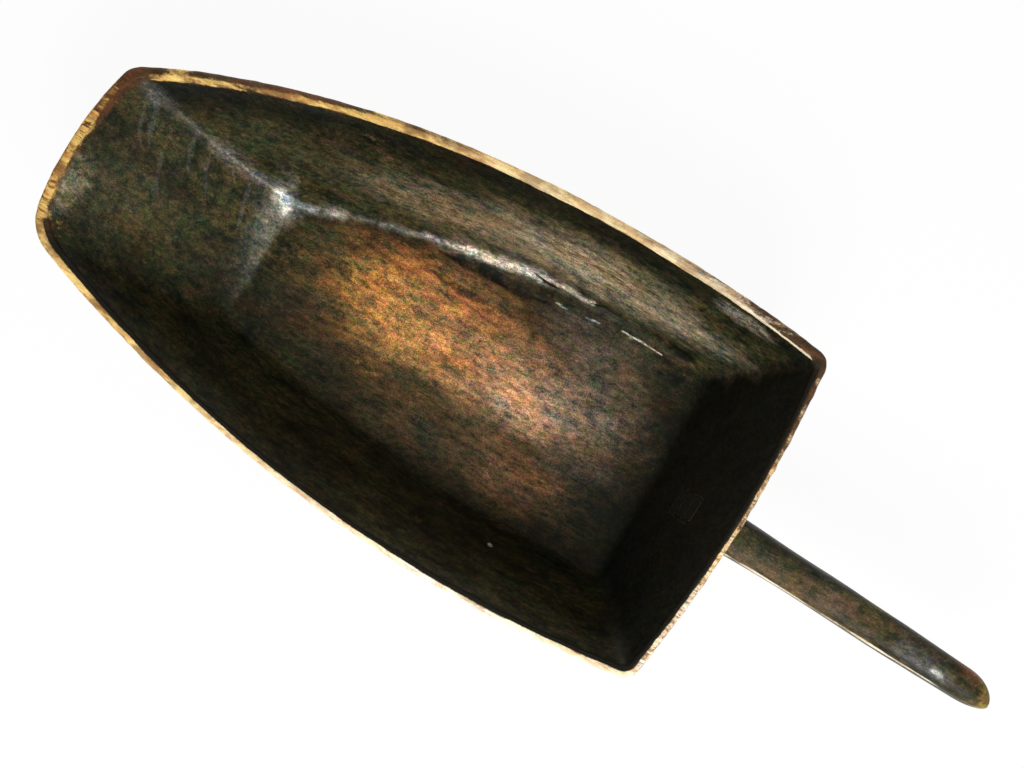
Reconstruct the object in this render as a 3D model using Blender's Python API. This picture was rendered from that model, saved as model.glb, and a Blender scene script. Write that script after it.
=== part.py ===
"""Grain scoop dug out of one block of wood, with a whittled handle wedged into its back wall.

Units are metres and +Z is up. +X runs from the lip to the handle and +Y is the left side, seen
from the lip. The origin is the middle of the flat underside that the scoop rests on.
"""

import math
from dataclasses import dataclass, fields

import bmesh
import bpy

# Rim, outer edge: half widths at its four corners, how far its four sides bow out, and how far the left
# side swells beyond that toward the lip
RIM_LENGTH = 0.467
LIP_LEFT = 0.0585
LIP_RIGHT = 0.0585
BACK_LEFT = 0.1115
BACK_RIGHT = 0.1140
LEFT_BULGE = 0.032
LEFT_SWELL = 0.0040
RIGHT_BULGE = 0.0305
LIP_BULGE = 0.0065
BACK_BULGE = 0.008
LIP_SKEW = 0.004
BACK_SKEW = 0.009
LIP_LEFT_CORNER = 0.007
LIP_RIGHT_CORNER = 0.018
BACK_CORNER = 0.008

# Rim, heights and thickness
LIP_HEIGHT = 0.084
BACK_HEIGHT = 0.106
RIM_DIP = 0.004
LIP_RIM_WIDTH = 0.0075
SIDE_RIM_WIDTH = 0.0060
BACK_RIM_WIDTH = 0.0060
RIM_ROUND = 0.0018

# Floor of the hollow
FLOOR_LENGTH = 0.282
FLOOR_FRONT_LEFT = 0.038
FLOOR_FRONT_RIGHT = 0.044
FLOOR_BACK_LEFT = 0.075
FLOOR_BACK_RIGHT = 0.071
FLOOR_BULGE_LEFT = 0.016
FLOOR_BULGE_RIGHT = 0.008
FLOOR_CORNER = 0.010
FLOOR_FILLET = 0.010
FLOOR_THICKNESS = 0.014
BACK_WALL_RUN = 0.0585

# Underside, as margins past the edge of the floor
FRONT_FOOT = -0.002
SIDE_FOOT = 0.003
BACK_FOOT = 0.043
FOOT_CORNER = 0.030
FOOT_ROUND = 0.010
HULL_FULLNESS = 1.22

# Handle
HANDLE_LENGTH = 0.189
HANDLE_HEIGHT = 0.062
HANDLE_OFFSET = -0.0073
HANDLE_TURN = math.radians(-3.2)
HANDLE_RISE = math.radians(6.0)
ROOT_WIDTH = 0.0262
ROOT_DEPTH = 0.0290
END_WIDTH = 0.0207
END_DEPTH = 0.0235
END_ROUND = 0.022
TIP_SHIFT = 0.0030
HANDLE_SQUARENESS = 2.5

# Tenon and wedges
TENON_WIDTH = 0.017
TENON_DEPTH = 0.020
TENON_CORNER = 0.003
WEDGE_LENGTH = 0.015
WEDGE_HEAD = 0.0034
WEDGE_TIP = 0.0010
WEDGE_SPACING = 0.0076
FIT_GAP = 0.0003

# Mesh fineness
SIDE_STEPS = 20
END_STEPS = 10
CORNER_STEPS = 4
FILLET_STEPS = 4
WALL_STEPS = 5
SECTION_STEPS = 28
GRIP_STEPS = 4
TIP_STEPS = 6
TIP_SWEEP = math.radians(80)
SMOOTH_ANGLE = math.radians(35)

# How far a cutter reaches past what it cuts
CUT_MARGIN = 0.010

# What s ** 3 * (1 - s) comes to where it is highest, at three quarters of a side
SWELL_PEAK = 27 / 256


@dataclass
class Outline:
    """A four-sided plan shape with bowed sides and rounded corners."""

    front_x: float
    back_x: float
    front_left: float
    front_right: float
    back_left: float
    back_right: float
    front_skew: float
    back_skew: float
    bulge_front: float
    bulge_back: float
    bulge_left: float
    bulge_right: float
    swell_left: float
    front_left_corner: float
    front_right_corner: float
    back_corner: float

    def grown(self, front, side, back):
        """The same outline with its front, sides and back moved outward."""
        moved = {field.name: getattr(self, field.name) for field in fields(self)}
        moved["front_x"] -= front
        moved["back_x"] += back
        for name in ("front_left", "front_right", "back_left", "back_right"):
            moved[name] += side
        return Outline(**moved)

    def toward(self, other, share):
        """The outline that lies the given share of the way to another one."""
        mixed = {}
        for field in fields(self):
            start = getattr(self, field.name)
            mixed[field.name] = start + (getattr(other, field.name) - start) * share
        return Outline(**mixed)

    def points(self):
        """Plan points anticlockwise from the right end of the lip, the same count for any outline."""
        corners = [
            (self.front_x - self.front_skew / 2, -self.front_right),
            (self.back_x - self.back_skew / 2, -self.back_right),
            (self.back_x + self.back_skew / 2, self.back_left),
            (self.front_x + self.front_skew / 2, self.front_left),
        ]
        bulges = [self.bulge_right, self.bulge_back, self.bulge_left, self.bulge_front]
        swells = [0.0, 0.0, self.swell_left, 0.0]
        radii = [self.front_right_corner, self.back_corner, self.back_corner, self.front_left_corner]
        counts = [SIDE_STEPS, END_STEPS, SIDE_STEPS, END_STEPS]
        sides = []
        for i in range(4):
            j = (i + 1) % 4
            bow = (bulges[i], swells[i])
            sides.append(bowed_side(corners[i], corners[j], bow, (radii[i], radii[j]), counts[i]))
        loop = []
        for i in range(4):
            j = (i + 1) % 4
            loop += sides[i]
            loop += rounded_corner(sides[i][-1], corners[j], sides[j][0])
        return loop


def bowed_side(start, end, bow, trims, count):
    """Points along a shallow arc that bows to the right of its direction and swells toward its end."""
    run = (end[0] - start[0], end[1] - start[1])
    length = math.hypot(*run)
    outward = (run[1] / length, -run[0] / length)
    first = trims[0] / length
    last = 1 - trims[1] / length
    bulge, swell = bow
    points = []
    for i in range(count + 1):
        s = first + (last - first) * i / count
        out = bulge * 4 * s * (1 - s) + swell * s ** 3 * (1 - s) / SWELL_PEAK
        points.append((start[0] + run[0] * s + outward[0] * out, start[1] + run[1] * s + outward[1] * out))
    return points


def rounded_corner(before, corner, after):
    """The points between two trimmed sides, on a curve that turns at their corner."""
    points = []
    for i in range(1, CORNER_STEPS):
        s = i / CORNER_STEPS
        points.append(tuple(bent(before[k], corner[k], after[k], s) for k in range(2)))
    return points


def bent(start, middle, end, s):
    """A value on the curve that leaves start toward middle and arrives at end from it."""
    return (1 - s) ** 2 * start + 2 * s * (1 - s) * middle + s ** 2 * end


# Plan shapes of the bowl, from the driving dimensions
BASE_LENGTH = FLOOR_LENGTH + FRONT_FOOT + BACK_FOOT
FLOOR_FRONT_X = -BASE_LENGTH / 2 + FRONT_FOOT
FLOOR_BACK_X = FLOOR_FRONT_X + FLOOR_LENGTH
RIM_BACK_X = FLOOR_BACK_X + BACK_WALL_RUN
LIP_X = RIM_BACK_X - RIM_LENGTH

FLOOR = Outline(
    front_x=FLOOR_FRONT_X,
    back_x=FLOOR_BACK_X,
    front_left=FLOOR_FRONT_LEFT,
    front_right=FLOOR_FRONT_RIGHT,
    back_left=FLOOR_BACK_LEFT,
    back_right=FLOOR_BACK_RIGHT,
    front_skew=0.0,
    back_skew=0.0,
    bulge_front=0.0,
    bulge_back=0.0,
    bulge_left=FLOOR_BULGE_LEFT,
    bulge_right=FLOOR_BULGE_RIGHT,
    swell_left=0.0,
    front_left_corner=FLOOR_CORNER,
    front_right_corner=FLOOR_CORNER,
    back_corner=FLOOR_CORNER,
)
RIM = Outline(
    front_x=LIP_X + LIP_BULGE,
    back_x=RIM_BACK_X - BACK_BULGE,
    front_left=LIP_LEFT,
    front_right=LIP_RIGHT,
    back_left=BACK_LEFT,
    back_right=BACK_RIGHT,
    front_skew=LIP_SKEW,
    back_skew=BACK_SKEW,
    bulge_front=LIP_BULGE,
    bulge_back=BACK_BULGE,
    bulge_left=LEFT_BULGE,
    bulge_right=RIGHT_BULGE,
    swell_left=LEFT_SWELL,
    front_left_corner=LIP_LEFT_CORNER,
    front_right_corner=LIP_RIGHT_CORNER,
    back_corner=BACK_CORNER,
)
MOUTH = RIM.grown(-LIP_RIM_WIDTH, -SIDE_RIM_WIDTH, -BACK_RIM_WIDTH)
BASE = FLOOR.grown(FRONT_FOOT, SIDE_FOOT, BACK_FOOT)
BASE.front_left_corner = FOOT_CORNER
BASE.front_right_corner = FOOT_CORNER
BASE.back_corner = FOOT_CORNER


def rim_height(x):
    """Height of the top of the rim, which climbs from the lip to the back with a slight dip."""
    s = (x - LIP_X) / RIM_LENGTH
    return LIP_HEIGHT + (BACK_HEIGHT - LIP_HEIGHT) * s - RIM_DIP * 4 * s * (1 - s)


def ring_at_rim(outline, drop):
    """A ring that follows the top of the rim, lowered by drop."""
    return [(x, y, rim_height(x) - drop) for x, y in outline.points()]


def hull_ring(share, grow):
    """A ring on the outside of the bowl, at a share of the rim's height."""
    width_share = 1 - (1 - share) ** HULL_FULLNESS
    outline = BASE.toward(RIM, width_share).grown(grow, grow, grow)
    return [(x, y, share * (rim_height(x) - RIM_ROUND)) for x, y in outline.points()]


def fillet_rings(flat, corner, wall, level):
    """Rings that turn from a level flat, round its sharp corner, into a wall that rises from it."""
    rings = [[(x, y, level) for x, y in flat]]
    for step in range(1, FILLET_STEPS + 1):
        s = step / FILLET_STEPS
        ring = []
        for low, edge, high in zip(flat, corner, wall):
            x = bent(low[0], edge[0], high[0], s)
            y = bent(low[1], edge[1], high[1], s)
            ring.append((x, y, bent(level, level, high[2], s)))
        rings.append(ring)
    return rings


def wall_shares(first):
    """Shares of a wall's height above its fillet, evenly spaced up to the top."""
    return [first + (1 - first) * step / WALL_STEPS for step in range(1, WALL_STEPS + 1)]


def hull_rings(grow=0.0):
    """Rings of the outside, from the flat underside, round its foot and up to the rim."""
    flat = BASE.grown(grow - FOOT_ROUND, grow - FOOT_ROUND, grow - FOOT_ROUND).points()
    corner = BASE.grown(grow, grow, grow).points()
    foot_share = FOOT_ROUND / LIP_HEIGHT
    rings = fillet_rings(flat, corner, hull_ring(foot_share, grow), -grow)
    return rings + [hull_ring(share, grow) for share in wall_shares(foot_share)]


def hollow_ring(share):
    """A ring on the wall of the hollow, at a share of the way up from the floor to the mouth."""
    ring = []
    for (x, y), (mouth_x, _) in zip(FLOOR.toward(MOUTH, share).points(), MOUTH.points()):
        top = rim_height(mouth_x) - RIM_ROUND
        ring.append((x, y, FLOOR_THICKNESS + share * (top - FLOOR_THICKNESS)))
    return ring


def hollow_rings():
    """Rings of the hollow, from the edge of its flat floor, round the fillet and up to the mouth."""
    flat = FLOOR.grown(-FLOOR_FILLET, -FLOOR_FILLET, -FLOOR_FILLET).points()
    fillet_share = FLOOR_FILLET / (LIP_HEIGHT - FLOOR_THICKNESS)
    rings = fillet_rings(flat, FLOOR.points(), hollow_ring(fillet_share), FLOOR_THICKNESS)
    return rings + [hollow_ring(share) for share in wall_shares(fillet_share)]


def rim_rings():
    """Rings over the rim, from its rounded outer edge to its rounded inner edge."""
    soft = RIM_ROUND * (1 - math.sqrt(0.5))
    return [
        ring_at_rim(RIM.grown(-soft, -soft, -soft), soft),
        ring_at_rim(RIM.grown(-RIM_ROUND, -RIM_ROUND, -RIM_ROUND), 0.0),
        ring_at_rim(MOUTH.grown(RIM_ROUND, RIM_ROUND, RIM_ROUND), 0.0),
        ring_at_rim(MOUTH.grown(soft, soft, soft), soft),
    ]


def skinned_mesh(name, rings):
    """A closed mesh with a face strip between each two rings and a cap on both ends."""
    bm = bmesh.new()
    loops = [[bm.verts.new(point) for point in ring] for ring in rings]
    for lower, upper in zip(loops, loops[1:]):
        for i in range(len(lower)):
            j = (i + 1) % len(lower)
            bm.faces.new((lower[i], lower[j], upper[j], upper[i]))
    bm.faces.new(reversed(loops[0]))
    bm.faces.new(loops[-1])
    mesh = bpy.data.meshes.new(name)
    bm.to_mesh(mesh)
    bm.free()
    mesh.shade_smooth()
    mesh.set_sharp_from_angle(angle=SMOOTH_ANGLE)
    return mesh


def add_object(name, rings, parent=None):
    """A named object made of rings, placed in its parent's frame."""
    piece = bpy.data.objects.new(name, skinned_mesh(name, rings))
    piece.parent = parent
    bpy.context.scene.collection.objects.link(piece)
    return piece


def add_guide(name, rings, parent=None):
    """A shape that only cuts or joins others."""
    guide = add_object(name, rings, parent)
    guide.hide_render = True
    guide.display_type = "WIRE"
    return guide


def combine(piece, other, operation):
    """Add a Boolean of another object to a piece."""
    modifier = piece.modifiers.new(operation.title() + " " + other.name, "BOOLEAN")
    modifier.operation = operation
    modifier.solver = "EXACT"
    modifier.object = other


def wood(name, color, roughness):
    """A wood material with one colour."""
    material = bpy.data.materials.new(name)
    material.use_nodes = True
    shader = material.node_tree.nodes["Principled BSDF"]
    shader.inputs["Base Color"].default_value = (*color, 1.0)
    shader.inputs["Roughness"].default_value = roughness
    shader.inputs["Metallic"].default_value = 0.0
    return material


def handle_section(along, width, depth, shift):
    """One ring of the handle: an oval drawn a little toward a rectangle."""
    power = 2 / HANDLE_SQUARENESS
    ring = []
    for i in range(SECTION_STEPS):
        angle = math.tau * i / SECTION_STEPS
        across = math.copysign(abs(math.cos(angle)) ** power, math.cos(angle))
        upward = math.copysign(abs(math.sin(angle)) ** power, math.sin(angle))
        ring.append((along, across * width / 2 - shift, upward * depth / 2))
    return ring


def handle_rings(start):
    """Rings of the grip from inside the wall to the rounded tip, along local +X."""
    straight = HANDLE_LENGTH - END_ROUND
    rings = [handle_section(start, ROOT_WIDTH, ROOT_DEPTH, 0.0)]
    for step in range(GRIP_STEPS + 1):
        s = step / GRIP_STEPS
        width = ROOT_WIDTH + (END_WIDTH - ROOT_WIDTH) * s
        depth = ROOT_DEPTH + (END_DEPTH - ROOT_DEPTH) * s
        rings.append(handle_section(straight * s, width, depth, 0.0))
    for step in range(1, TIP_STEPS + 1):
        turn = TIP_SWEEP * step / TIP_STEPS
        size = math.cos(turn)
        along = straight + END_ROUND * math.sin(turn) / math.sin(TIP_SWEEP)
        rings.append(handle_section(along, END_WIDTH * size, END_DEPTH * size, TIP_SHIFT * (1 - size)))
    return rings


def tenon_rings(start, end, grow):
    """Two rings of a rounded rectangle, along local +X."""
    half_width = TENON_WIDTH / 2 + grow
    half_depth = TENON_DEPTH / 2 + grow
    centres = [(1, 1), (-1, 1), (-1, -1), (1, -1)]
    section = []
    for quarter, (side, level) in enumerate(centres):
        for step in range(CORNER_STEPS + 1):
            angle = math.pi / 2 * (quarter + step / CORNER_STEPS)
            y = side * (half_width - TENON_CORNER) + TENON_CORNER * math.cos(angle)
            z = level * (half_depth - TENON_CORNER) + TENON_CORNER * math.sin(angle)
            section.append((y, z))
    return [[(along, y, z) for y, z in section] for along in (start, end)]


def wedge_rings(head, tip, level, half_width, grow):
    """A flat taper across the tenon: thick at its head inside the bowl, thin at its tip."""
    rings = []
    for along, thickness in ((head, WEDGE_HEAD), (tip + grow, WEDGE_TIP)):
        half = thickness / 2 + grow
        section = [(half_width, -half), (half_width, half), (-half_width, half), (-half_width, -half)]
        rings.append([(along, y, level + z) for y, z in section])
    return rings


def back_wall_x(outer):
    """Where the middle of the back wall's outer or inner face lies at the handle's height."""
    rim_top = rim_height(RIM_BACK_X) - RIM_ROUND
    if outer:
        share = 1 - (1 - HANDLE_HEIGHT / rim_top) ** HULL_FULLNESS
        face = BASE.toward(RIM, share)
    else:
        share = (HANDLE_HEIGHT - FLOOR_THICKNESS) / (rim_top - FLOOR_THICKNESS)
        face = FLOOR.toward(MOUTH, share)
    return face.back_x + face.bulge_back


def main():
    for existing in list(bpy.data.objects):
        bpy.data.objects.remove(existing, do_unlink=True)

    scoop = bpy.data.objects.new("scoop", None)
    bpy.context.scene.collection.objects.link(scoop)

    # The frame of the handle: its root on the outer face of the back wall, +X toward its tip
    seat = bpy.data.objects.new("handle_seat", None)
    seat.parent = scoop
    seat.location = (back_wall_x(True), HANDLE_OFFSET, HANDLE_HEIGHT)
    seat.rotation_euler = (0.0, -HANDLE_RISE, HANDLE_TURN)
    bpy.context.scene.collection.objects.link(seat)
    inner_face = back_wall_x(False) - back_wall_x(True)
    inside = inner_face - TENON_DEPTH - CUT_MARGIN

    # Guides
    block = add_guide("block_guide", hull_rings(FIT_GAP), scoop)
    hollow = add_guide("hollow_guide", hollow_rings(), scoop)
    tenon = add_guide("tenon_guide", tenon_rings(inside, CUT_MARGIN, 0.0), seat)
    mortise = add_guide("mortise_guide", tenon_rings(inside, CUT_MARGIN, FIT_GAP), seat)

    # Bowl
    bowl_rings = hull_rings() + rim_rings() + hollow_rings()[::-1]
    bowl = add_object("bowl", bowl_rings, scoop)
    bowl.data.materials.append(wood("dark_wood", (0.060, 0.042, 0.026), 0.55))
    combine(bowl, mortise, "DIFFERENCE")

    # Handle, shouldered on the outside of the wall, with its tenon trimmed flush inside the bowl
    handle = add_object("handle", handle_rings(inside), seat)
    handle.data.materials.append(wood("handle_wood", (0.085, 0.062, 0.036), 0.50))
    combine(handle, block, "DIFFERENCE")
    combine(handle, tenon, "UNION")
    combine(handle, hollow, "DIFFERENCE")

    # Wedges, driven into the tenon's end from inside the bowl and trimmed with it
    wedge_tip = inner_face + WEDGE_LENGTH
    half_width = TENON_WIDTH / 2
    for name, level in (("upper_wedge", WEDGE_SPACING / 2), ("lower_wedge", -WEDGE_SPACING / 2)):
        kerf_rings = wedge_rings(inside, wedge_tip, level, half_width + CUT_MARGIN, FIT_GAP)
        kerf = add_guide(name + "_kerf_guide", kerf_rings, seat)
        combine(handle, kerf, "DIFFERENCE")
        wedge = add_object(name, wedge_rings(inside, wedge_tip, level, half_width, 0.0), seat)
        wedge.data.materials.append(wood("wedge_wood", (0.20, 0.13, 0.07), 0.60))
        combine(wedge, hollow, "DIFFERENCE")


main()
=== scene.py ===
"""Looks of a dug-out grain scoop: a dark carved bowl, a whittled handle and the two wedges of its joint.

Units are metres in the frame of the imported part: +X runs from the lip to the handle, +Y is the left side
and +Z is up. The grain of the wood runs along X in every piece.
"""

import logging
import math
from dataclasses import dataclass, fields, replace
from enum import Enum

import bmesh
import bpy
import numpy as np
from mathutils import Matrix, Vector
from mathutils.bvhtree import BVHTree


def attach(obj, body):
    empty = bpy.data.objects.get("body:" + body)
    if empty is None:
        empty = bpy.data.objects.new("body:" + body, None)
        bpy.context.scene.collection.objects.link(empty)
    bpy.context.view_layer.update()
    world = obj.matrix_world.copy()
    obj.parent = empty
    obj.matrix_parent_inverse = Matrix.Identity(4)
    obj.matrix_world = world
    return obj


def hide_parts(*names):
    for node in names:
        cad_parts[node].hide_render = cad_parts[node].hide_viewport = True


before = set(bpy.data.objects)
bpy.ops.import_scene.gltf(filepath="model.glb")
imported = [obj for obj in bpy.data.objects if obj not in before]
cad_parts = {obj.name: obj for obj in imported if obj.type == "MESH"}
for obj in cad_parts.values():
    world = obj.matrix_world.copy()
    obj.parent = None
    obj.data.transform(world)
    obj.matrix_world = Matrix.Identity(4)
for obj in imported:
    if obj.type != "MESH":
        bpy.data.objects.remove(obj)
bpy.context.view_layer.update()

BODY = "root"
MM = 0.001
SWELL_PEAK = 27 / 256
SHARP_ANGLE = math.radians(50)
HEART_DEPTH = 0.16
BUMP_DEPTH = 0.0004
COAT_ROUGHNESS = 0.3
STREAK_STRETCH = (0.06, 1.0, 1.0)
FILM_WIDTH = 36.0
LATTICE_FACTORS = (374761393, 668265263, 1103515245, 974634777)
LATTICE_STIR = 1274126177
WORD = 0xFFFFFFFF

log = logging.getLogger("scoop")

Color = tuple[float, float, float]
Point = tuple[float, float, float]


class Zone(Enum):
    """The stretches of the bowl's surface, in the order that its rings follow."""

    UNDERSIDE = 0
    FOOT = 1
    HULL = 2
    RIM = 3
    WALL = 4
    FILLET = 5
    FLOOR = 6


class Side(Enum):
    """The four sides of the bowl, anticlockwise from the right end of the lip."""

    RIGHT = 0
    BACK = 1
    LEFT = 2
    LIP = 3


class Mask(Enum):
    """Per-point values that tell a finish where the wood is worn, dirty or cut, and where light and shade
    are painted.
    """

    BARE_AND_LIT = "bare_wood"
    PALE_AND_LIT = "pale_wood"
    ENDS = "end_grain"
    SHADE_AND_GRIME = "grime"
    RUSSET = "russet"
    GLOSS_AND_HIGHLIGHT = "polish"
    CUT = "cut_dirt"
    HOLLOW = "hollow"


# Noise on points

def lattice(cells: np.ndarray, seed: int) -> np.ndarray:
    """Give each cell of a whole-number lattice a fixed random value.

    Args:
        cells: Whole coordinates, three in the last axis.
        seed: Picks one of many unlike patterns.

    Returns:
        Values from 0 to 1, one for each cell.
    """
    x, y, z = (cells[..., k].astype(np.int64) for k in range(3))
    word = sum(value * factor for value, factor in zip((x, y, z, seed), LATTICE_FACTORS)) & WORD
    word = ((word ^ (word >> 13)) * LATTICE_STIR) & WORD
    word = word ^ (word >> 16)
    return word / WORD


def soft_noise(points: np.ndarray, seed: int) -> np.ndarray:
    """Evaluate smooth noise whose features are about one unit wide.

    Args:
        points: Coordinates, three in the last axis.
        seed: Picks the pattern.

    Returns:
        Values from -1 to 1, one for each point.
    """
    base = np.floor(points)
    part = points - base
    part = part * part * (3 - 2 * part)
    total = np.zeros(points.shape[:-1])
    for corner in np.ndindex(2, 2, 2):
        weight = np.prod(np.where(np.array(corner) == 1, part, 1 - part), axis=-1)
        total += weight * lattice(base + corner, seed)
    return total * 2 - 1


def scallops(points: np.ndarray, seed: int) -> np.ndarray:
    """Evaluate hollows with sharp ridges between them, as a gouge leaves.

    Args:
        points: Coordinates in which one hollow is about one unit wide.
        seed: Picks the pattern.

    Returns:
        0 at the middle of each hollow, rising to about 1 on the ridges.
    """
    base = np.floor(points)
    nearest = np.full(points.shape[:-1], 9.0)
    for step in np.ndindex(3, 3, 3):
        cell = base + np.array(step) - 1
        jitter = np.stack([lattice(cell, seed + axis) for axis in range(3)], axis=-1)
        gap = np.sum((cell + jitter - points) ** 2, axis=-1)
        nearest = np.minimum(nearest, gap)
    return np.clip(nearest / 0.6, 0, 1.4)


def smooth(low: float, high: float, values: np.ndarray) -> np.ndarray:
    """Rise smoothly from 0 at low to 1 at high, or fall where low is the larger.

    Args:
        low: Where the result is 0.
        high: Where the result is 1.
        values: What is compared with them.

    Returns:
        Shares from 0 to 1.
    """
    share = np.clip((values - low) / (high - low), 0, 1)
    return share * share * (3 - 2 * share)


def bent(start: np.ndarray, middle: np.ndarray, end: np.ndarray, share: np.ndarray) -> np.ndarray:
    """Follow the curve that leaves start toward middle and arrives at end from it.

    Args:
        start: First point, or an array of them.
        middle: Where the two ends' tangents meet.
        end: Last point.
        share: How far along, from 0 to 1.

    Returns:
        The points at those shares.
    """
    return (1 - share) ** 2 * start + 2 * share * (1 - share) * middle + share ** 2 * end


# Meshes

def new_object(name: str, mesh: bpy.types.Mesh) -> bpy.types.Object:
    """Link a smooth-shaded object to the scene.

    Args:
        name: The piece's name.
        mesh: Its mesh.

    Returns:
        The new object.
    """
    mesh.shade_smooth()
    piece = bpy.data.objects.new(name, mesh)
    bpy.context.scene.collection.objects.link(piece)
    return piece


def skinned(name: str, rings: list[np.ndarray]) -> bpy.types.Mesh:
    """Close a stack of rings into a mesh, with a strip between each two and a cap on both ends.

    Args:
        name: The mesh's name.
        rings: Equal-sized arrays of points, each anticlockwise seen from the stack's far end.

    Returns:
        The closed mesh.
    """
    count = len(rings[0])
    faces = []
    for ring in range(len(rings) - 1):
        first = ring * count
        for i in range(count):
            j = (i + 1) % count
            faces.append((first + i, first + j, first + count + j, first + count + i))
    faces.append(tuple(reversed(range(count))))
    faces.append(tuple(range((len(rings) - 1) * count, len(rings) * count)))
    mesh = bpy.data.meshes.new(name)
    mesh.from_pydata(np.concatenate(rings).tolist(), [], faces)
    return mesh


def cut_away(piece: bpy.types.Object, cutter: bpy.types.Mesh) -> None:
    """Cut a closed shape out of a piece for good.

    Args:
        piece: What is cut.
        cutter: The shape that is taken away, in the frame of the part.
    """
    tool = bpy.data.objects.new("cutter", cutter)
    bpy.context.scene.collection.objects.link(tool)
    modifier = piece.modifiers.new("cut", "BOOLEAN")
    modifier.operation = "DIFFERENCE"
    modifier.solver = "EXACT"
    modifier.object = tool
    graph = bpy.context.evaluated_depsgraph_get()
    made = bpy.data.meshes.new_from_object(piece.evaluated_get(graph))
    piece.modifiers.clear()
    piece.data = made
    bpy.data.objects.remove(tool)


def set_mask(mesh: bpy.types.Mesh, mask: Mask, values: np.ndarray) -> None:
    """Store one value per point on a mesh, for its finish to read.

    Args:
        mesh: The mesh.
        mask: What the values mean.
        values: One number for each of the mesh's points.
    """
    layer = mesh.attributes.get(mask.value) or mesh.attributes.new(mask.value, "FLOAT", "POINT")
    layer.data.foreach_set("value", np.clip(values, 0, 1).astype(np.float32))


def places_of(mesh: bpy.types.Mesh) -> np.ndarray:
    """Read a mesh's points.

    Args:
        mesh: The mesh.

    Returns:
        An array of three columns, one row for each point.
    """
    flat = np.empty(len(mesh.vertices) * 3, np.float32)
    mesh.vertices.foreach_get("co", flat)
    return flat.reshape(-1, 3).astype(float)


def normals_of(mesh: bpy.types.Mesh) -> np.ndarray:
    """Read the normals at a mesh's points.

    Args:
        mesh: The mesh.

    Returns:
        An array of three columns, one row for each point.
    """
    flat = np.empty(len(mesh.vertices) * 3, np.float32)
    mesh.vertex_normals.foreach_get("vector", flat)
    return flat.reshape(-1, 3).astype(float)


def move_points(mesh: bpy.types.Mesh, places: np.ndarray) -> None:
    """Put a mesh's points at new places.

    Args:
        mesh: The mesh.
        places: An array of three columns, one row for each point.
    """
    mesh.vertices.foreach_set("co", places.astype(np.float32).ravel())
    mesh.update()


def along_path(points: np.ndarray, path: np.ndarray) -> tuple[np.ndarray, np.ndarray]:
    """Find how points lie beside a path of straight stretches, and how far along it they are.

    Args:
        points: An array with as many columns as the path.
        path: The path's own points, in order.

    Returns:
        Each point's offset from the nearest place on the path, and that place's share of its length.
    """
    best, place = np.full(points.shape, np.inf), np.zeros(len(points))
    nearest = np.full(len(points), np.inf)
    runs = np.diff(path, axis=0)
    lengths = np.linalg.norm(runs, axis=1)
    before = 0.0
    for start, run, length in zip(path[:-1], runs, lengths):
        share = np.clip((points - start) @ run / length ** 2, 0, 1)
        offset = points - start - share[:, None] * run
        far = np.linalg.norm(offset, axis=1)
        closer = far < nearest
        place = np.where(closer, before + share * length, place)
        best = np.where(closer[:, None], offset, best)
        nearest = np.minimum(nearest, far)
        before += length
    return best, place / before


def far_from(points: np.ndarray, path: np.ndarray) -> np.ndarray:
    """Give each point's distance from a path."""
    return np.linalg.norm(along_path(points, path)[0], axis=1)


def refine(mesh: bpy.types.Mesh, near: np.ndarray, cuts: int) -> None:
    """Divide the faces round chosen points more finely.

    Args:
        mesh: The mesh.
        near: For each point, whether it is chosen.
        cuts: New points on each edge between two chosen points.
    """
    bm = bmesh.new()
    bm.from_mesh(mesh)
    edges = [edge for edge in bm.edges if near[edge.verts[0].index] and near[edge.verts[1].index]]
    bmesh.ops.subdivide_edges(bm, edges=edges, cuts=cuts, use_grid_fill=True)
    bm.to_mesh(mesh)
    bm.free()


def mask_of(mesh: bpy.types.Mesh, mask: Mask) -> np.ndarray:
    """Read the values that a mesh holds for its points.

    Args:
        mesh: The mesh.
        mask: Which of its values.

    Returns:
        One number for each point.
    """
    values = np.empty(len(mesh.vertices), np.float32)
    mesh.attributes[mask.value].data.foreach_get("value", values)
    return values.astype(float)


# Plan shapes

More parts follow.
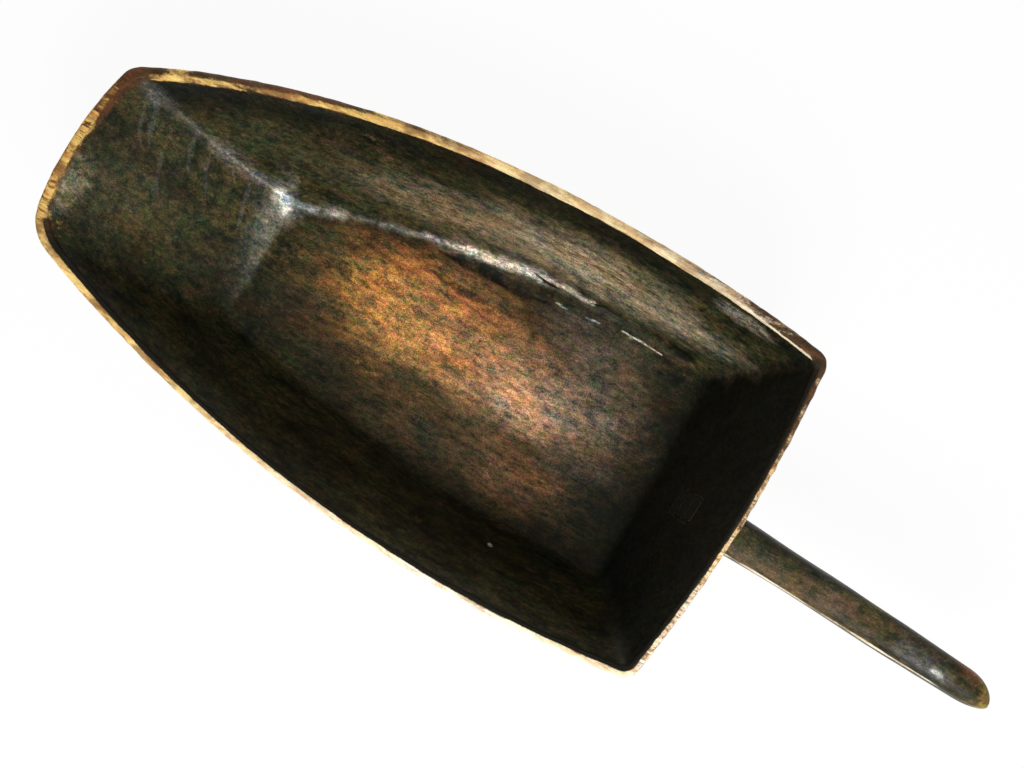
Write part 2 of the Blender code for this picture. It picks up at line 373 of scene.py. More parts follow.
@dataclass(frozen=True)
class Outline:
    """A four-sided plan shape with bowed sides and rounded corners."""

    front_x: float
    back_x: float
    front_left: float
    front_right: float
    back_left: float
    back_right: float
    front_skew: float
    back_skew: float
    bulge_front: float
    bulge_back: float
    bulge_left: float
    bulge_right: float
    swell_left: float
    corner_front_right: float
    corner_back_right: float
    corner_back_left: float
    corner_front_left: float

    def grown(self, front: float, right: float, back: float, left: float) -> "Outline":
        """Move the four sides outward.

        Args:
            front: How far the front moves.
            right: How far the right side moves.
            back: How far the back moves.
            left: How far the left side moves.

        Returns:
            The larger outline.
        """
        return replace(
            self,
            front_x=self.front_x - front,
            back_x=self.back_x + back,
            front_left=self.front_left + left,
            front_right=self.front_right + right,
            back_left=self.back_left + left,
            back_right=self.back_right + right,
        )

    def corner_sizes(self) -> tuple[float, float, float, float]:
        """List the corners' sizes.

        Returns:
            The sizes in the order that the loop meets the corners.
        """
        return (
            self.corner_front_right, self.corner_back_right,
            self.corner_back_left, self.corner_front_left,
        )

    def cornered(
        self, front_right: float, back_right: float, back_left: float, front_left: float,
    ) -> "Outline":
        """Give the four corners other sizes.

        Args:
            front_right: Size of the corner at the right end of the lip.
            back_right: Size of the right corner at the back.
            back_left: Size of the left corner at the back.
            front_left: Size of the corner at the left end of the lip.

        Returns:
            The outline with those corners.
        """
        return replace(
            self, corner_front_right=front_right, corner_back_right=back_right,
            corner_back_left=back_left, corner_front_left=front_left,
        )

    def toward(self, other: "Outline", share: float) -> "Outline":
        """Mix this outline with another one.

        Args:
            other: The outline at share 1.
            share: How far toward it.

        Returns:
            The outline in between.
        """
        mixed = {}
        for field in fields(self):
            start = getattr(self, field.name)
            mixed[field.name] = start + (getattr(other, field.name) - start) * share
        return Outline(**mixed)

    def loop(self, side_steps: int, end_steps: int, corner_steps: int) -> np.ndarray:
        """Place points round the outline, anticlockwise from the middle of the lip's right corner.

        Args:
            side_steps: Steps along each long side.
            end_steps: Steps along the lip and along the back.
            corner_steps: Steps in half a corner.

        Returns:
            An array of two columns.
        """
        corners = np.array([
            (self.front_x - self.front_skew / 2, -self.front_right),
            (self.back_x - self.back_skew / 2, -self.back_right),
            (self.back_x + self.back_skew / 2, self.back_left),
            (self.front_x + self.front_skew / 2, self.front_left),
        ])
        bulges = (self.bulge_right, self.bulge_back, self.bulge_left, self.bulge_front)
        swells = (0.0, 0.0, self.swell_left, 0.0)
        trims = self.corner_sizes()
        counts = (side_steps, end_steps, side_steps, end_steps)
        arcs = []
        for k in range(4):
            run = corners[(k + 1) % 4] - corners[k]
            length = np.hypot(*run)
            outward = np.array((run[1], -run[0])) / length
            share = np.linspace(trims[k] / length, 1 - trims[(k + 1) % 4] / length, counts[k] + 1)[:, None]
            out = bulges[k] * 4 * share * (1 - share) + swells[k] * share ** 3 * (1 - share) / SWELL_PEAK
            arcs.append(corners[k] + run * share + outward * out)
        turn_in = np.linspace(0.5, 1, corner_steps + 1)[:-1, None]
        turn_out = np.linspace(0, 0.5, corner_steps + 1)[1:-1, None]
        parts = []
        for k in range(4):
            after = (k + 1) % 4
            parts.append(bent(arcs[k - 1][-1], corners[k], arcs[k][0], turn_in))
            parts.append(arcs[k])
            parts.append(bent(arcs[k][-1], corners[after], arcs[after][0], turn_out))
        return np.concatenate(parts)


Path = tuple[tuple[float, float], ...]


@dataclass(frozen=True)
class CutMark:
    """A narrow mark in the hollow, in millimetres: its path in plan, its size, its dirt and its painted
    highlight.
    """

    path: Path
    width: float
    depth: float
    dirt: float = 0.0
    polish: float = 0.0


@dataclass(frozen=True)
class GlossHighlightLine:
    """A crease or edge with a painted highlight and a glossy coat: its path in plan, its half width and its
    share.

    Lengths are in millimetres. On a sharp side, given as a direction in plan, the highlight ends at the
    path.
    """

    path: Path
    reach: float
    share: float
    sharp_side: tuple[float, float] = (0.0, 0.0)


@dataclass
class BowlSkin:
    """What is known of each point of the bowl: its zone, its share of it and its weight on each side."""

    zones: np.ndarray
    shares: np.ndarray
    sides: np.ndarray

    def on(self, *zones: Zone) -> np.ndarray:
        """1 for points in these zones, 0 for others."""
        return np.isin(self.zones, [zone.value for zone in zones]).astype(float)

    def side(self, side: Side) -> np.ndarray:
        """How much each point belongs to a side, from 0 to 1; the floor belongs to none."""
        return self.sides[:, side.value]


# Shader sheets and shared effects

Socket = bpy.types.NodeSocket
Value = float | int | tuple | Socket


class NodeSheet:
    """Writes a node tree one node at a time, each taking values or other nodes' outputs."""

    def __init__(self, tree: bpy.types.NodeTree) -> None:
        """Start on a tree that is already there."""
        self.tree = tree

    def put(self, socket: Socket, value: Value) -> None:
        """Link a socket to an output, or set its value.

        Args:
            socket: The input.
            value: An output of another node, a number or a colour.
        """
        if isinstance(value, bpy.types.NodeSocket):
            self.tree.links.new(value, socket)
        elif isinstance(value, tuple) and socket.type == "RGBA" and len(value) == 3:
            socket.default_value = (*value, 1.0)
        else:
            socket.default_value = value

    def add(self, kind: str, inputs: dict | None = None, **settings: object) -> bpy.types.Node:
        """Add a node.

        Args:
            kind: Its type, without the leading words that all shader nodes share.
            inputs: Values for its inputs, by name or by number.
            **settings: Its own properties.

        Returns:
            The node.
        """
        node = self.tree.nodes.new("ShaderNode" + kind)
        for name, value in settings.items():
            setattr(node, name, value)
        for key, value in (inputs or {}).items():
            self.put(node.inputs[key], value)
        return node

    def math(self, operation: str, first: Value, second: Value = 0.0, third: Value = 0.0) -> Socket:
        """Work out one number from up to three others.

        Args:
            operation: What is done with them.
            first: The first number.
            second: The second number, where the operation takes two.
            third: What a product is added to.

        Returns:
            The result.
        """
        inputs = {0: first, 1: second}
        if operation == "MULTIPLY_ADD":
            inputs[2] = third
        return self.add("Math", inputs, operation=operation).outputs[0]

    def times(self, first: Value, second: Value) -> Socket:
        """Multiply two numbers."""
        return self.math("MULTIPLY", first, second)

    def plus(self, first: Value, second: Value) -> Socket:
        """Add two numbers."""
        return self.math("ADD", first, second)

    def ramp(self, value: Value, low: float, high: float, bottom: float = 0.0, top: float = 1.0) -> Socket:
        """Rise smoothly from bottom to top as a value goes from low to high."""
        inputs = {0: value, 1: low, 2: high, 3: bottom, 4: top}
        return self.add("MapRange", inputs, interpolation_type="SMOOTHSTEP").outputs[0]

    def mix(self, share: Value, first: Value, second: Value, how: str = "MIX") -> Socket:
        """Blend two colours."""
        inputs = {0: share, 6: first, 7: second}
        return self.add("Mix", inputs, data_type="RGBA", blend_type=how).outputs[2]

    def noise(self, vector: Socket, scale: Value, detail: float, rough: float = 0.5) -> Socket:
        """Add fractal noise, from 0 to 1 around a half."""
        inputs = {"Vector": vector, "Scale": scale, "Detail": detail, "Roughness": rough}
        return self.add("TexNoise", inputs).outputs[0]

    def stretched(self, vector: Socket, factors: Value) -> Socket:
        """Multiply a vector by another one, part by part."""
        return self.add("VectorMath", {0: vector, 1: factors}, operation="MULTIPLY").outputs[0]

    def moved(self, vector: Socket, offset: Value) -> Socket:
        """Add two vectors."""
        return self.add("VectorMath", {0: vector, 1: offset}, operation="ADD").outputs[0]

    def gray(self, value: Value) -> Socket:
        """Give the gray colour of a number."""
        return self.add("CombineXYZ", {0: value, 1: value, 2: value}).outputs[0]

    def mask(self, mask: Mask) -> Socket:
        """Read one of the values that a mesh holds for each of its points."""
        return self.add("Attribute", attribute_name=mask.value).outputs["Fac"]

    def place(self) -> Socket:
        """Read the point's place in the frame of the part."""
        return self.add("TexCoord").outputs["Object"]


class SharedEffects:
    """The effects that more than one finish uses, each a node group that is built once."""

    def __init__(self) -> None:
        """Build the groups."""
        self.grain = self._grain()
        self.patina = self._patina()
        self.rubbed = self._rubbed()
        self.broken = self._broken()

    def _group(self, name: str, inputs: dict, outputs: dict) -> tuple[NodeSheet, dict, dict]:
        """Open a new group.

        Args:
            name: The group's name.
            inputs: Socket kinds and first values, by socket name.
            outputs: Socket kinds, by socket name.

        Returns:
            A sheet to write on, the group's inputs and the sockets that its outputs take.
        """
        tree = bpy.data.node_groups.new(name, "ShaderNodeTree")
        for socket, (kind, value) in inputs.items():
            made = tree.interface.new_socket(socket, in_out="INPUT", socket_type="NodeSocket" + kind)
            made.default_value = (*value, 1.0) if kind == "Color" else value
        for socket, kind in outputs.items():
            tree.interface.new_socket(socket, in_out="OUTPUT", socket_type="NodeSocket" + kind)
        sheet = NodeSheet(tree)
        given = tree.nodes.new("NodeGroupInput").outputs
        taken = tree.nodes.new("NodeGroupOutput").inputs
        return sheet, given, taken

    def _grain(self) -> bpy.types.NodeTree:
        """Wood grain along X: fine fibres, short pores and the slow bands of the year rings.

        Returns:
            The node group.
        """
        sheet, given, taken = self._group(
            "wood_grain",
            {
                "Place": ("Vector", (0, 0, 0)),
                "Fibre Scale": ("Float", 700.0),
                "Ring Scale": ("Float", 110.0),
            },
            {"Fibre": "Float", "Pores": "Float", "Bands": "Float"},
        )
        along = sheet.stretched(given["Place"], (0.045, 1.0, 1.0))
        fibre = sheet.noise(along, given["Fibre Scale"], 4.0, 0.65)
        dashes = sheet.stretched(given["Place"], (0.11, 1.0, 1.0))
        pores = sheet.noise(dashes, sheet.times(given["Fibre Scale"], 1.6), 1.0)
        slow = sheet.stretched(given["Place"], (0.08, 1.0, 1.0))
        sway = sheet.noise(slow, 14.0, 2.0)
        _, side, level = sheet.add("SeparateXYZ", {0: given["Place"]}).outputs
        above = sheet.math("POWER", sheet.plus(level, HEART_DEPTH), 2.0)
        reach = sheet.math("POWER", sheet.plus(sheet.times(side, side), above), 0.5)
        turns = sheet.plus(sheet.times(reach, given["Ring Scale"]), sheet.times(sway, 2.5))
        bands = sheet.math("MULTIPLY_ADD", sheet.math("SINE", sheet.times(turns, math.tau)), 0.5, 0.5)
        sheet.put(taken["Fibre"], sheet.ramp(fibre, 0.28, 0.72))
        sheet.put(taken["Pores"], sheet.ramp(pores, 0.60, 0.74))
        sheet.put(taken["Bands"], bands)
        return sheet.tree

    def _patina(self) -> bpy.types.NodeTree:
        """Old dirt and oil: blotches of near black, olive, brown and red, with a fine speckle.

        Returns:
            The node group.
        """
        sheet, given, taken = self._group(
            "old_patina",
            {
                "Place": ("Vector", (0, 0, 0)),
                "Blotch Scale": ("Float", 40.0),
                "Black": ("Color", (0.01, 0.01, 0.006)),
                "Olive": ("Color", (0.05, 0.045, 0.022)),
                "Brown": ("Color", (0.08, 0.055, 0.026)),
                "Red": ("Color", (0.12, 0.05, 0.02)),
            },
            {"Color": "Color", "Blotch": "Float", "Patch": "Float", "Speckle": "Float", "Tint": "Color"},
        )
        drawn = sheet.stretched(given["Place"], (0.5, 1.0, 1.0))
        broad = sheet.noise(drawn, given["Blotch Scale"], 5.0, 0.62)
        finer, medium, coarse = (sheet.times(given["Blotch Scale"], factor) for factor in (1.7, 1.3, 0.3))
        other = sheet.noise(sheet.moved(drawn, (3.1, 1.7, 0.4)), finer, 5.0, 0.66)
        third = sheet.noise(sheet.moved(drawn, (7.3, 2.9, 1.1)), medium, 5.0, 0.66)
        mottle = sheet.noise(sheet.moved(given["Place"], (1.3, 5.2, 2.2)), 280.0, 3.0, 0.7)
        color = sheet.mix(sheet.ramp(broad, 0.32, 0.66), given["Black"], given["Olive"])
        color = sheet.mix(sheet.ramp(other, 0.42, 0.64, 0.0, 0.9), color, given["Brown"])
        color = sheet.mix(sheet.ramp(third, 0.52, 0.68, 0.0, 0.75), color, given["Red"])
        cloud = sheet.noise(sheet.moved(drawn, (5.5, 0.6, 4.1)), coarse, 2.0)
        small, large = sheet.ramp(mottle, 0.28, 0.72, 0.55, 1.45), sheet.ramp(cloud, 0.34, 0.66, 0.66, 1.4)
        color = sheet.mix(1.0, color, sheet.gray(sheet.times(small, large)), "MULTIPLY")
        speckle = sheet.noise(given["Place"], 850.0, 3.0, 0.75)
        flecks = {"Vector": drawn, "Scale": 260.0, "Detail": 3.0, "Roughness": 0.88}
        level, hue = sheet.add("TexNoise", flecks).outputs[:2]
        dust = sheet.ramp(sheet.noise(given["Place"], 1500.0, 1.0, 0.6), 0.22, 0.78, 0.4, 1.6)
        level = sheet.times(sheet.math("MULTIPLY_ADD", sheet.plus(level, -0.5), 3.4, 1.0), dust)
        hue = sheet.stretched(sheet.moved(hue, (-0.5, -0.5, -0.5)), (1.5, 1.5, 1.5))
        warmth = sheet.plus(sheet.noise(sheet.moved(drawn, (2.6, 3.3, 0.9)), 75.0, 2.0), -0.5)
        drift = sheet.stretched(sheet.gray(warmth), (1.1, 0.3, -0.35))
        tint = sheet.moved(sheet.moved(hue, drift), sheet.gray(level))
        tint = sheet.add("VectorMath", {0: tint, 1: (0.25, 0.25, 0.25)}, operation="MAXIMUM")
        sheet.put(taken["Color"], color)
        sheet.put(taken["Blotch"], broad)
        sheet.put(taken["Patch"], third)
        sheet.put(taken["Speckle"], speckle)
        sheet.put(taken["Tint"], tint.outputs[0])
        return sheet.tree

    def _rubbed(self) -> bpy.types.NodeTree:
        """A patch that use has rubbed: mottled, and fading unevenly from its middle to its reach.

        Returns:
            The node group.
        """
        sheet, given, taken = self._group(
            "rubbed_patch",
            {
                "Place": ("Vector", (0, 0, 0)),
                "Middle": ("Vector", (0, 0, 0)),
                "Reach": ("Vector", (0.05, 0.05, 0.05)),
                "Breakup": ("Float", 0.5),
                "Breakup Scale": ("Float", 60.0),
                "Mottle": ("Float", 0.6),
            },
            {"Mask": "Float"},
        )
        place, middle, reach = given["Place"], given["Middle"], given["Reach"]
        offset = sheet.add("VectorMath", {0: place, 1: middle}, operation="SUBTRACT").outputs[0]
        shares = sheet.add("VectorMath", {0: offset, 1: reach}, operation="DIVIDE").outputs[0]
        far = sheet.add("VectorMath", {0: shares}, operation="LENGTH").outputs[1]
        shifted = sheet.stretched(middle, (9, 7, 5))
        drawn = sheet.moved(sheet.stretched(place, (0.4, 1.0, 1.0)), shifted)
        uneven = sheet.plus(sheet.noise(drawn, given["Breakup Scale"], 3.0, 0.6), -0.5)
        patches = sheet.plus(sheet.noise(drawn, sheet.times(given["Breakup Scale"], 1.9), 5.0, 0.72), -0.5)
        grit = sheet.plus(sheet.noise(sheet.moved(place, shifted), 420.0, 3.0, 0.75), -0.5)
        ragged = sheet.plus(far, sheet.times(uneven, sheet.times(given["Breakup"], 2.4)))
        rough = sheet.plus(sheet.times(patches, 5.0), sheet.times(grit, 2.0))
        tone = sheet.plus(sheet.times(rough, given["Mottle"]), 0.76)
        level = sheet.times(sheet.ramp(ragged, 1.0, 0.1), tone)
        sheet.put(taken["Mask"], sheet.math("MINIMUM", sheet.math("MAXIMUM", level, 0.0), 1.0))
        return sheet.tree

    def _broken(self) -> bpy.types.NodeTree:
        """The edge of a worn stretch, broken up along the fibres.

        Returns:
            The node group.
        """
        sheet, given, taken = self._group(
            "broken_edge",
            {
                "Place": ("Vector", (0, 0, 0)),
                "Amount": ("Float", 0.5),
                "Breakup": ("Float", 0.6),
                "Breakup Scale": ("Float", 160.0),
            },
            {"Mask": "Float"},
        )
        drawn = sheet.stretched(given["Place"], (0.35, 1.0, 1.0))
        uneven = sheet.plus(sheet.noise(drawn, given["Breakup Scale"], 5.0, 0.72), -0.5)
        grit = sheet.plus(sheet.noise(given["Place"], 800.0, 2.0, 0.7), -0.5)
        slow = sheet.plus(sheet.noise(drawn, sheet.times(given["Breakup Scale"], 0.35), 2.0), -0.5)
        rough = sheet.plus(sheet.times(uneven, 2.0), sheet.times(slow, 1.6))
        rough = sheet.plus(rough, sheet.times(grit, 0.5))
        level = sheet.plus(given["Amount"], sheet.times(rough, given["Breakup"]))
        sheet.put(taken["Mask"], sheet.ramp(level, 0.32, 0.68))
        return sheet.tree


# Finishes

@dataclass(frozen=True)
class RubbedSpot:
    """A worn spot, also used for a painted sheen: where it is, how far it reaches, its colour and how
    strongly it shows.
    """

    middle: Point
    reach: Point
    color: Color
    strength: float
    breakup: float = 0.45
    scale: float = 60.0
    mottle: float = 0.6


@dataclass(frozen=True)
class WoodLayers:
    """The patterns and masks that the steps of a finish share, as outputs in one material."""

    place: Socket
    fibre: Socket
    pores: Socket
    bands: Socket
    streaks: Socket
    patina: Socket
    blotch: Socket
    patch: Socket
    speckle: Socket
    tint: Socket
    pale: Socket
    ends: Socket
    outer: Socket


@dataclass(frozen=True)
class WoodFinish:
    """Old wood: bare wood where it is worn, patina elsewhere, the spots that use has rubbed, and painted
    light and shade.
    """

    name: str
    golden: Color
    cream: Color
    orange: Color
    tick: Color
    black: Color
    olive: Color
    brown: Color
    red: Color
    russet: Color
    blotch_scale: float
    fibre_scale: float
    roughness: tuple[float, float]
    bump: float
    specular: float
    highlight_color: Color
    warm_highlight_color: Color
    highlight_share: float
    grit: float
    outside: Color
    outside_share: float
    spots: tuple[RubbedSpot, ...]

    def handled(self, sheet: NodeSheet, blotch: Socket) -> Socket:
        """The red-brown of old handling, a little uneven."""
        return sheet.mix(sheet.ramp(blotch, 0.3, 0.7, 0.0, 0.75), self.russet, self.black)

    def layers(self, sheet: NodeSheet, effects: SharedEffects) -> WoodLayers:
        """Lay out the grain, the patina and the masks that the finish is mixed from.

        Args:
            sheet: The material's sheet.
            effects: The shared node groups.

        Returns:
            Their outputs.
        """
        place = sheet.place()
        inputs = {"Place": place, "Fibre Scale": self.fibre_scale}
        grain = sheet.add("Group", inputs, node_tree=effects.grain).outputs
        inputs = {
            "Place": place, "Blotch Scale": self.blotch_scale,
            "Black": self.black, "Olive": self.olive, "Brown": self.brown, "Red": self.red,
        }
        patina = sheet.add("Group", inputs, node_tree=effects.patina).outputs
        hull = sheet.math("SUBTRACT", 1.0, sheet.mask(Mask.HOLLOW))
        return WoodLayers(
            place=place,
            fibre=grain["Fibre"],
            pores=grain["Pores"],
            bands=grain["Bands"],
            streaks=sheet.noise(sheet.stretched(place, STREAK_STRETCH), 240.0, 3.0, 0.7),
            patina=patina["Color"],
            blotch=patina["Blotch"],
            patch=patina["Patch"],
            speckle=patina["Speckle"],
            tint=patina["Tint"],
            pale=sheet.mask(Mask.PALE_AND_LIT),
            ends=sheet.mask(Mask.ENDS),
            outer=sheet.times(hull, self.outside_share),
        )

    def darkened(self, sheet: NodeSheet, layers: WoodLayers, effects: SharedEffects) -> Socket:
        """Mix the old patina, the worn outside, the black of painted shade and darker bands, and the spots
        that use has rubbed.

        Args:
            sheet: The material's sheet.
            layers: The patterns to mix from.
            effects: The shared node groups.

        Returns:
            The colour where the wood is not bare.
        """
        color = sheet.mix(layers.outer, layers.patina, self.outside)
        sides = sheet.ramp(layers.streaks, 0.34, 0.66, -0.55, 0.55)
        rings = sheet.math("MULTIPLY_ADD", layers.bands, -0.6, 0.3)
        lines = sheet.plus(sides, sheet.times(layers.ends, sheet.math("SUBTRACT", rings, sides)))
        hewn = sheet.plus(sheet.times(lines, layers.outer), 1.0)
        streaked = sheet.math("MULTIPLY_ADD", layers.fibre, 0.5, 0.75)
        color = sheet.mix(1.0, color, sheet.gray(sheet.times(streaked, hewn)), "MULTIPLY")
        color = sheet.mix(sheet.mask(Mask.RUSSET), color, self.handled(sheet, layers.blotch))
        # Painted shade: the colour is mixed to black where the bowl lies in shade and in a darker band
        # under its left rim; the tenon end and the wedges are black too.
        color = sheet.mix(sheet.mask(Mask.SHADE_AND_GRIME), color, self.black)
        streak = sheet.math("MULTIPLY_ADD", layers.fibre, 0.3, 0.85)
        for spot in self.spots:
            inputs = {
                "Place": layers.place, "Middle": spot.middle, "Reach": spot.reach,
                "Breakup": spot.breakup, "Breakup Scale": spot.scale, "Mottle": spot.mottle,
            }
            rubbed = sheet.add("Group", inputs, node_tree=effects.rubbed).outputs["Mask"]
            color = sheet.mix(sheet.times(sheet.times(rubbed, streak), spot.strength), color, spot.color)
        return color

    def bare_wood(self, sheet: NodeSheet, layers: WoodLayers) -> Socket:
        """Mix the wood that shows where the patina is worn off, with the ticks of its end grain.

        Args:
            sheet: The material's sheet.
            layers: The patterns to mix from.

        Returns:
            The colour of bare wood.
        """
        wood = sheet.mix(layers.pale, self.golden, self.cream)
        wood = sheet.mix(sheet.times(layers.bands, 0.3), wood, self.golden)
        crossing = sheet.plus(layers.streaks, sheet.math("MULTIPLY_ADD", layers.speckle, 0.3, -0.15))
        across = sheet.times(sheet.ramp(crossing, 0.48, 0.60), layers.ends)
        flushed = sheet.math("MAXIMUM", across, sheet.ramp(layers.patch, 0.46, 0.58, 0.0, 0.45))
        wood = sheet.mix(flushed, wood, self.orange)
        reddened = sheet.math("MULTIPLY_ADD", layers.pale, -0.6, 0.75)
        wood = sheet.mix(sheet.times(sheet.ramp(layers.blotch, 0.53, 0.38), reddened), wood, self.russet)
        wood = sheet.mix(sheet.times(sheet.ramp(layers.fibre, 0.5, 0.1), 0.25), wood, self.tick)
        ticks = sheet.noise(sheet.stretched(layers.place, STREAK_STRETCH), 430.0, 2.0, 0.6)
        return sheet.mix(sheet.times(sheet.ramp(ticks, 0.47, 0.39), layers.ends), wood, self.tick)

    def polish(self, sheet: NodeSheet, layers: WoodLayers) -> Socket:
        """Tear the painted highlight and its glossy coat along the grain.

        Args:
            sheet: The material's sheet.
            layers: The patterns to mix from.

        Returns:
            How much of the highlight and gloss shows, from 0 to 1.
        """
        torn = sheet.noise(sheet.stretched(layers.place, (0.5, 1.0, 1.0)), 500.0, 3.0, 0.7)
        polish = sheet.times(sheet.mask(Mask.GLOSS_AND_HIGHLIGHT), sheet.ramp(torn, 0.32, 0.68, 0.45, 1.5))
        return sheet.math("MINIMUM", polish, 1.0)

    def material(self, effects: SharedEffects) -> bpy.types.Material:
        """Write the finish as a material.

        Args:
            effects: The shared node groups.

        Returns:
            The new material.
        """
        material = bpy.data.materials.new(self.name)
        material.use_nodes = True
        sheet = NodeSheet(material.node_tree)
        shader = material.node_tree.nodes["Principled BSDF"]
        layers = self.layers(sheet, effects)
        inputs = {"Place": layers.place, "Amount": sheet.mask(Mask.BARE_AND_LIT)}
        bare = sheet.add("Group", inputs, node_tree=effects.broken).outputs["Mask"]
        color = sheet.mix(bare, self.darkened(sheet, layers, effects), self.bare_wood(sheet, layers))
        # Painted highlight: along the highlight lines the colour is mixed toward a pale highlight colour;
        # the same mask sets the glossy coat.
        polish = self.polish(sheet, layers)
        painted_highlight = sheet.mix(layers.pale, self.highlight_color, self.warm_highlight_color)
        color = sheet.mix(sheet.times(polish, self.highlight_share), color, painted_highlight)
        grit = sheet.math("MULTIPLY_ADD", bare, -0.65 * self.grit, self.grit)
        grit = sheet.times(grit, sheet.math("MULTIPLY_ADD", layers.outer, -0.8, 1.0))
        color = sheet.mix(grit, color, sheet.mix(1.0, color, layers.tint, "MULTIPLY"))
        color = sheet.mix(sheet.times(layers.pores, 0.3), color, self.black)
        color = sheet.mix(sheet.mask(Mask.CUT), color, self.black)
        sheet.put(shader.inputs["Base Color"], color)

        uneven = sheet.plus(sheet.times(layers.blotch, 0.6), sheet.times(bare, 0.4))
        sheet.put(shader.inputs["Roughness"], sheet.ramp(uneven, 0.15, 0.8, *self.roughness))
        height = sheet.plus(sheet.times(layers.fibre, 0.5), sheet.times(layers.pores, -0.7))
        height = sheet.plus(height, sheet.times(layers.speckle, 0.5))
        bump = sheet.add("Bump", {"Strength": self.bump, "Distance": BUMP_DEPTH, "Height": height})
        sheet.put(shader.inputs["Normal"], bump.outputs[0])
        sheet.put(shader.inputs["Coat Weight"], polish)
        shader.inputs["Coat Roughness"].default_value = COAT_ROUGHNESS
        shader.inputs["Specular IOR Level"].default_value = self.specular
        return material


BOWL_SPOTS: tuple[RubbedSpot, ...] = (
    RubbedSpot((-0.026, 0.010, 0.014), (0.145, 0.068, 0.06), (0.12, 0.066, 0.027), 0.85, 0.3, 40.0, 0.4),
    RubbedSpot((-0.050, 0.018, 0.014), (0.098, 0.046, 0.06), (0.68, 0.28, 0.075), 0.80, 0.45, 45.0, 1.0),
    RubbedSpot((-0.004, 0.012, 0.014), (0.100, 0.042, 0.06), (0.54, 0.30, 0.135), 0.68, 0.45, 55.0, 1.0),
    RubbedSpot((-0.062, 0.014, 0.014), (0.070, 0.046, 0.05), (0.78, 0.42, 0.095), 0.42, 0.5, 75.0, 1.8),
    RubbedSpot((-0.035, 0.022, 0.014), (0.090, 0.050, 0.05), (0.20, 0.078, 0.046), 0.52, 0.5, 62.0, 1.8),
    RubbedSpot((0.028, 0.003, 0.014), (0.054, 0.028, 0.06), (0.80, 0.48, 0.28), 0.8, 0.4, 60.0, 0.75),
    RubbedSpot((0.064, 0.010, 0.014), (0.050, 0.046, 0.05), (0.21, 0.15, 0.105), 0.8, 0.4, 50.0, 0.65),
    RubbedSpot((0.050, 0.050, 0.014), (0.054, 0.034, 0.03), (0.12, 0.092, 0.065), 0.8, 0.4, 50.0, 0.6),
    RubbedSpot((0.040, -0.043, 0.014), (0.050, 0.028, 0.03), (0.27, 0.13, 0.060), 0.8, 0.4, 60.0, 0.8),
    RubbedSpot((0.035, 0.091, 0.047), (0.130, 0.032, 0.036), (0.31, 0.25, 0.16), 0.98, 0.35, 45.0, 0.75),
    RubbedSpot((-0.070, 0.078, 0.040), (0.120, 0.026, 0.030), (0.19, 0.14, 0.078), 0.85, 0.4, 50.0, 0.8),
    RubbedSpot((-0.170, 0.066, 0.050), (0.090, 0.022, 0.030), (0.060, 0.055, 0.026), 0.3, 0.35, 50.0, 0.7),
    # Painted sheen: a grey spot on the front slope near the lip.
    RubbedSpot((-0.276, -0.022, 0.078), (0.014, 0.028, 0.018), (0.22, 0.20, 0.13), 0.8, 0.4, 90.0, 0.9),
    RubbedSpot((-0.255, -0.014, 0.064), (0.034, 0.044, 0.034), (0.078, 0.068, 0.034), 0.5, 0.45, 60.0, 1.0),
    RubbedSpot((0.000, -0.046, 0.014), (0.125, 0.036, 0.020), (0.095, 0.064, 0.031), 0.7, 0.35, 50.0, 0.6),
    RubbedSpot((-0.115, -0.018, 0.014), (0.055, 0.036, 0.020), (0.060, 0.040, 0.020), 0.5, 0.4, 50.0, 0.7),
    RubbedSpot((0.118, 0.1075, 0.090), (0.030, 0.009, 0.009), (0.27, 0.24, 0.18), 0.65, 0.6, 130.0, 1.0),
    RubbedSpot((-0.222, -0.022, 0.045), (0.050, 0.026, 0.040), (0.076, 0.066, 0.024), 0.5, 0.4, 60.0, 0.9),
)

BOWL_FINISH = WoodFinish(
    name="bowl_wood",
    golden=(0.92, 0.62, 0.18),
    cream=(0.97, 0.91, 0.72),
    orange=(0.60, 0.26, 0.065),
    tick=(0.13, 0.055, 0.020),
    black=(0.0045, 0.0048, 0.0030),
    olive=(0.029, 0.032, 0.0105),
    brown=(0.042, 0.032, 0.0115),
    red=(0.056, 0.034, 0.020),
    russet=(0.17, 0.062, 0.024),
    blotch_scale=85.0,
    fibre_scale=650.0,
    roughness=(0.42, 0.66),
    bump=0.35,
    specular=0.08,
    highlight_color=(0.73, 0.71, 0.61),
    warm_highlight_color=(0.92, 0.70, 0.49),
    highlight_share=0.95,
    grit=1.0,
    outside=(0.085, 0.055, 0.029),
    outside_share=0.62,
    spots=BOWL_SPOTS,
)

HANDLE_SPOTS: tuple[RubbedSpot, ...] = (
    RubbedSpot((0.222, -0.017, 0.082), (0.045, 0.012, 0.020), (0.15, 0.088, 0.036), 0.75, 0.4, 70.0, 0.7),
    RubbedSpot((0.250, -0.014, 0.086), (0.030, 0.010, 0.020), (0.11, 0.075, 0.050), 0.65, 0.4, 70.0, 0.7),
    RubbedSpot((0.190, -0.016, 0.078), (0.026, 0.011, 0.020), (0.10, 0.07, 0.040), 0.6, 0.4, 70.0, 0.7),
    RubbedSpot((0.345, -0.008, 0.088), (0.022, 0.008, 0.015), (0.20, 0.085, 0.035), 0.8, 0.5, 80.0),
)

HANDLE_FINISH = WoodFinish(
    name="handle_wood",
    golden=(0.30, 0.215, 0.050),
    cream=(0.90, 0.80, 0.62),
    orange=(0.22, 0.14, 0.042),
    tick=(0.10, 0.05, 0.02),
    black=(0.0055, 0.0058, 0.0035),
    olive=(0.045, 0.044, 0.0145),
    brown=(0.062, 0.045, 0.018),
    red=(0.075, 0.048, 0.034),
    russet=(0.13, 0.055, 0.022),
    blotch_scale=85.0,
    fibre_scale=700.0,
    roughness=(0.42, 0.6),
    bump=0.25,
    specular=0.12,
    highlight_color=(0.50, 0.53, 0.48),
    warm_highlight_color=(0.50, 0.53, 0.48),
    highlight_share=0.9,
    grit=0.8,
    outside=(0.06, 0.045, 0.02),
    outside_share=0.0,
    spots=HANDLE_SPOTS,
)

